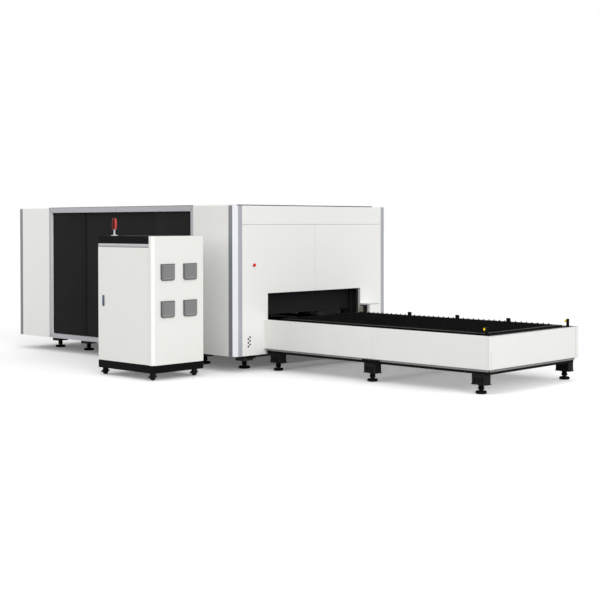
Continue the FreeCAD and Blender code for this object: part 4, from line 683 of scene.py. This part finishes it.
def thin_line(start, end, width):
    """Joint between two sheets of the window wall, from start to end (x, z), as a thin dark line that
    stands 0.3 mm in front of the wall."""
    start, end = np.array(start, float), np.array(end, float)
    run = (end - start) / np.linalg.norm(end - start)
    side = np.array([-run[1], run[0]]) * width / 2
    flat = np.array([start - side, end - side, end + side, start + side])
    return extruded(np.column_stack([flat[:, 0], np.full(4, -0.3), flat[:, 1]]), (0, 0.5, 0))


def sloped_pane(x0, x1, turned_round):
    """Window sheet whose front slopes off beside the sliding door over 60 mm, almost down to its back; the
    outline is drawn in x and y and carried up, and turned_round puts the slope at its left end."""
    front, back = pane_low[1], pane_high[1]
    flat = np.array([(x0, back), (x0, front), (x1 - 60, front), (x1, back - 0.5), (x1, back)])
    flat[:, 0] = x0 + x1 - flat[:, 0] if turned_round else flat[:, 0]
    outline = np.column_stack([flat, np.full(len(flat), pane_low[2])])
    return extruded(outline, (0, 0, pane_high[2] - pane_low[2]))


pane_low, pane_high = held("fixed_panes")
quarter = (pane_high[0] - pane_low[0]) / 4
piece("fixed_panes_rounded", [sloped_pane(pane_low[0], pane_low[0] + quarter, False),
                              sloped_pane(pane_high[0] - quarter, pane_high[0], True)],
      "machine", finishes["dark_sheet"], ["fixed_panes"])

# the window frame's four mitres and the butt joint in its head
joint_width, butt_x = 4, -2448
joints = [thin_line((outer_x, outer_z), (inner_x, inner_z), joint_width)
          for outer_z, inner_z in ((frame_high[2], pane_high[2]), (frame_low[2], pane_low[2]))
          for outer_x, inner_x in ((frame_low[0], pane_low[0]), (frame_high[0], pane_high[0]))]
joints.append(thin_line((butt_x, pane_high[2]), (butt_x, frame_high[2]), joint_width))
piece("frame_joints", joints, "machine", finishes["caster_tread"])

# the middle leg bracket's flange lies over the ledge
piece("bracket_flange", [eased_block((1672, 530.5, 238), (1950, 537.5, 266), 1, 1)], "machine",
      finishes["black_paint"])

# a grey strip along the top of the drive cover's front, drawn as the lip of its lid, its grey a painted
# shade under the lid's edge
piece("drive_cover_lid_shade_strip", [eased_block((178, 2431, 767), (180.6, 2639, 777), 0.5, 1)], "machine",
      finishes["trim_grey"])


def bent_skirt():
    """End skirt of sheet bent round both corners of the table, with a fold along its top and its foot; the
    plan is drawn once and carried up."""
    (x0, y0, z0), (x1, y1, z1) = held("end_skirt")
    sheet, bend = 2, 20
    t = np.linspace(0, np.pi / 2, 7)

    def plan(inset):
        """The skirt seen from above, inset from its outer face."""
        r = bend - inset
        near = np.stack([x1 - bend + r * np.sin(t), y0 + bend - r * np.cos(t)], -1)
        far = np.stack([near[::-1, 0], y0 + y1 - near[::-1, 1]], -1)
        return np.concatenate([[(x0, y0 + inset)], near, far, [(x0, y1 - inset)]])

    outer, inner = plan(0), plan(sheet)
    wall = np.concatenate([outer, inner[::-1]])
    surfaces = []
    for flat, low, high in ((wall, z0, z1), (outer, z0, z0 + sheet), (outer, z1 - sheet, z1)):
        surfaces.append(extruded(np.column_stack([flat, np.full(len(flat), low)]), (0, 0, high - low)))
    return surfaces


piece("end_skirt_bent", bent_skirt(), "machine", finishes["white_paint"], ["end_skirt"],
      smooth_under=20)
piece("skirt_corner_joint", [eased_block((3547.8, 2319, 279), (3548.05, 2322, 653), 0.02, 1),
                             eased_block((3547.8, 541, 279), (3548.05, 544, 470), 0.02, 1)],
      "machine", finishes["caster_tread"])

# two columns of three cable sockets, the one nearer the corner half a step lower
socket_plug = turned([(-5, 8.3), (0.1, 8.3), (0.1, 12.8), (2.2, 12.8), (3.0, 11.8), (3.0, 7.5), (1.6, 6.8),
                      (1.6, 1)], (0, 0, 0), along_x, 20)
piece("socket_plugs", [repeated(socket_plug, [(0, 260 - c * 30, 442 - r * 48 - c * 23)
                                              for r in range(3) for c in range(2)])],
      "machine", finishes["caster_tread"])

# the two sensor heads on their posts, one at each corner of the table's far end
eyes, posts = [], []
for y in (600, 2300):
    eyes.append(turned([(0, 12), (0, 15.6), (1.5, 17), (6, 17), (7, 16), (8, 17), (22, 17), (22.5, 15)],
                       (3414, y, 720), along_x, 24))
    posts.append(eased_block((3436, y - 14, 648), (3464, y + 14, 745), 3))
    posts.append(eased_block((3430, y - 22, 648), (3470, y + 22, 653), 2))
piece("sensor_eyes_turned", eyes, "machine", finishes["sensor_yellow"], ["sensor_eyes"])
piece("sensor_posts_eased", posts, "machine", finishes["black_paint"], ["sensor_posts"])

piece("gear_motor_finned",
      [finned_bar((43, 2343, 666), (115, 2405, 728), 0),
       eased_block((113, 2345, 668), (139, 2403, 726), 3),
       eased_block((63, 2360, 642), (119, 2372, 667), 1)],
      "machine", finishes["motor_beige"], ["exchange_motor"])


def screw(heading):
    """Domed head with a round socket, standing out towards heading."""
    return turned([(0, 6.5), (1.6, 6.2), (3.0, 4.6), (3.4, 2.6), (2.0, 2.4), (2.0, 0.5)], (0, 0, 0),
                  heading, 12)


ledge_low, ledge_high = held("skirt_ledge")
screw_z = ledge_low[2] + 13
along_sides = np.linspace(90, 3460, 13)
piece("ledge_screws",
      [repeated(screw(-along_y), [(x, ledge_low[1], screw_z) for x in along_sides]),
       repeated(screw(along_y), [(x, ledge_high[1], screw_z) for x in along_sides]),
       repeated(screw(along_x), [(ledge_high[0], y, screw_z) for y in np.linspace(640, 2280, 7)])],
      "machine", zinc)

# ---------------------------------------------------------------------------------------------------
# Control cabinet
# ---------------------------------------------------------------------------------------------------


def louvred_cover(y0, z1):
    """Filter cover: a box lofted through three outlines with cut lower corners, and across its face a
    row of blades whose profile drops back under each lip."""
    width, height, inset, cut = 215, 203, 12.0, 20.0
    y1, z0 = y0 + width, z1 - height
    x0, x1 = -142.0, -112.0

    def outline(in_by):
        """The cover seen from its front, in y and z, drawn in by a distance."""
        left, right, foot, head = y0 + in_by, y1 - in_by, z0 + in_by, z1 - in_by
        return [(left, foot + cut), (left + cut, foot), (right - cut, foot), (right, foot + cut),
                (right, head), (left, head)]

    rings = np.stack([np.column_stack([np.full(6, x), outline(in_by)])
                      for x, in_by in ((x0, 0), (x1 - inset, 0), (x1 - 5, inset))])
    blades, start_y = 13, y0 + 2 * inset
    z = np.linspace(z0 + inset + cut, z1 - inset - 4, blades + 1)
    rise = (z[:-1, None] + (z[1] - z[0]) * np.array([0.0, 0.12, 0.78, 1.0])).ravel()
    reach = np.tile([x1 - 5.5, x1, x1 - 1.5, x1 - 5.5], blades)
    lips = np.stack([reach, np.full(len(reach), start_y), rise], -1)
    behind = [(x1 - 8, start_y, z[-1]), (x1 - 8, start_y, z[0])]
    return [lofted(rings), extruded(np.concatenate([lips, behind]), (0, width - 4 * inset, 0))]


first_y, first_top, column_step, row_step = -1113, 1417, 362, 454
covers = [part for column in range(2) for row in range(2)
          for part in louvred_cover(first_y + column * column_step, first_top - row * row_step)]
piece("filter_covers_louvred", covers, "machine", finishes["cover_grey"], ["filter_covers"],
      smooth_under=20)

piece("lever_eased", [eased_block((-1131, -1246, 872), (-1097, -1234.6, 1008), 4.5),
                      turned([(0, 9), (18, 9)], (-1114, -1240, 991), along_y, 24)],
      "lever", finishes["lever_blue"], ["door_lever"])

lamp_x, lamp_y, cabinet_top, lens_foot = -1050, -1110, 1757, 1838
piece("lamp_stem_turned",
      [turned([(0, 43), (1.5, 44), (6, 44), (9, 41), (10.5, 20), (13, 13), (16, 11), (70, 11), (72, 12),
               (76, 15), (81, 18)], (lamp_x, lamp_y, cabinet_top), up, 32)],
      "machine", finishes["lamp_grey"], ["lamp_stem"])


def ribbed_lens(ribs=40):
    """Lamp lens: the turned profile's radius r(z) is drawn in by 1.8 % between upright ribs."""
    profile = np.array([(0, 25.0), (4, 26.5), (30, 30.4), (64, 33.0), (100, 30.4), (128, 27.2), (138, 24.6),
                        (141, 21.0), (142, 15.0)])
    a = np.linspace(0, 2 * np.pi, 2 * ribs, endpoint=False)
    ripple = 1 - 0.018 * (np.arange(2 * ribs) % 2)
    r = profile[:, 1, None] * ripple
    rings = np.stack([lamp_x + r * np.cos(a), lamp_y + r * np.sin(a),
                      np.broadcast_to(lens_foot + profile[:, :1], r.shape)], -1)
    return lofted(rings)


piece("lamp_lens_ribbed", [ribbed_lens()], "machine", finishes["lamp_red"], ["lamp_lens"],
      smooth_under=12)
# a dark tube set off to one side inside the lens, painted shade that darkens that part of the lens
piece("lamp_painted_shade_tube", [turned([(4, 9), (122, 9), (128, 6), (130, 3)],
                                 (lamp_x - 6, lamp_y - 6, lens_foot), up, 20)],
      "machine", lens_shade_core)
# a white body set off to the other side inside the lens, a painted highlight that makes that half of the
# lens shine bright red
piece("lamp_highlight_reflector", [turned([(4, 11), (124, 11), (130, 8), (132, 4)],
                                (lamp_x + 8.5, lamp_y + 8, lens_foot), up, 20)],
      "machine", finishes["white_paint"])

# ---------------------------------------------------------------------------------------------------
# Cutting head and its drives
# ---------------------------------------------------------------------------------------------------

head_low, head_high = held("cutting_head")
head_x, head_y = (head_low + head_high)[:2] / 2
tip_z = head_low[2]
piece("cutting_head_turned",
      [turned([(1175, 33), (1178, 34), (1215, 34), (1217, 31), (1225, 31), (1227, 33.6), (1290, 33.6),
               (1300, 26)], (head_x, head_y, 0), up, 28),
       eased_block((head_x - 42, head_y - 42, 1025), (head_x + 42, head_y + 42, 1175), 5),
       turned([(935, 24), (936, 29.4), (975, 29.4), (977, 27), (985, 27), (987, 29.4), (1025, 29.4)],
              (head_x, head_y, 0), up, 28),
       turned([(tip_z + 20, 13), (tip_z + 34, 17), (tip_z + 52, 21.5), (935, 24)],
              (head_x, head_y, 0), up, 24)],
      "head", finishes["head_metal"], ["cutting_head"])
piece("nozzle_tip",
      [turned([(0, 4), (1, 6.5), (6, 8), (14, 12), (20, 13.2)], (head_x, head_y, tip_z), up, 24)],
      "head", copper)

# ---------------------------------------------------------------------------------------------------
# Floor, light and camera
# ---------------------------------------------------------------------------------------------------


def studio_floor(lift):
    """White floor that runs to the horizon and keeps the machine's soft shadow; the camera sees it whiter
    than the machine does, and lighter by lift, and painted light thins the shadow by up to 0.3 more off the
    table's end (x from 3.5 m to 4.7 m) and by up to 0.06 more toward the cabinet (y from 0 to -2 m)."""
    far, depth = 150, -0.002
    mesh = bpy.data.meshes.new("studio_floor")
    mesh.from_pydata([(-far, -far, depth), (far, -far, depth), (far, far, depth), (-far, far, depth)],
                     [], [(0, 1, 2, 3)])
    material = bpy.data.materials.new("floor_white")
    material.use_nodes = True
    surface = material.node_tree.nodes["Principled BSDF"]
    surface.inputs["Roughness"].default_value = 1.0
    surface.inputs["Specular IOR Level"].default_value = 0.0
    surface.inputs["Emission Strength"].default_value = 1.0
    w = Wiring(material.node_tree)
    seen_by_camera = w.add("LightPath")
    w.tree.links.new(w.blend(seen_by_camera, (0.52, 0.52, 0.52, 1), (0.92, 0.92, 0.92, 1)),
                     surface.inputs["Base Color"])
    place = w.add("SeparateXYZ", Vector=w.add("NewGeometry")).node.outputs
    there = w.sum_of("ADD", w.span(place["X"], 3.5, 4.7, lift, lift + 0.3),
                     w.span(place["Y"], -2.0, 0.0, 0.06, 0.0))
    lift_and_painted_light = w.sum_of("MULTIPLY", seen_by_camera, there)
    w.tree.links.new(w.add("CombineColor", i0=lift_and_painted_light, i1=lift_and_painted_light, i2=lift_and_painted_light), surface.inputs["Emission Color"])
    mesh.materials.append(material)
    floor = bpy.data.objects.new("studio_floor", mesh)
    bpy.context.scene.collection.objects.link(floor)


def studio_world(level):
    """Even light from all round; the camera, gloss and glass see plain white."""
    world = bpy.data.worlds.new("studio_world")
    world.use_nodes = True
    tree = world.node_tree
    tree.nodes.clear()
    w = Wiring(tree)
    rays = w.add("LightPath").node.outputs
    seen_white = w.sum_of("MAXIMUM", rays["Is Camera Ray"],
                          w.sum_of("MAXIMUM", rays["Is Glossy Ray"], rays["Is Transmission Ray"]))
    lit = w.add("Background", Color=(1, 1, 1, 1), Strength=w.span(seen_white, 0, 1, level, 1.0))
    tree.links.new(lit, tree.nodes.new("ShaderNodeOutputWorld").inputs["Surface"])
    bpy.context.scene.world = world


def soft_sun(name, toward, strength, width):
    """A distant lamp as wide as a soft box, in degrees; it lights a white face square to it to strength."""
    lamp = bpy.data.lights.new(name, "SUN")
    lamp.energy, lamp.angle = strength * np.pi, np.radians(width)
    thing = bpy.data.objects.new(name, lamp)
    thing.rotation_mode = "QUATERNION"
    thing.rotation_quaternion = Vector(toward).to_track_quat("-Z", "Y")
    bpy.context.scene.collection.objects.link(thing)


studio_floor(lift=0.11)
studio_world(level=0.80)
soft_sun("upper_soft_box", (-0.3, 0.1, -1.0), 0.05, 70)
soft_sun("end_soft_box", (-1.0, 0.3, -0.3), 0.47, 60)
soft_sun("front_left_soft_box", (0.62, 0.78, -0.35), 0.15, 50)

# the camera found from the machine's own edges in the picture
lens = bpy.data.cameras.new("photograph_view")
lens.lens, lens.sensor_width, lens.clip_end = 73.2243, 36.0, 400.0
lens.shift_y = -0.09794
camera = bpy.data.objects.new("photograph_view", lens)
camera.location = (12.01147, -11.60225, 1.89954)
camera.rotation_euler = np.radians((90 - 0.79858, 0.08526, 43.6617))
bpy.context.scene.collection.objects.link(camera)
bpy.context.scene.camera = camera
bpy.context.scene.view_settings.view_transform = "Standard"
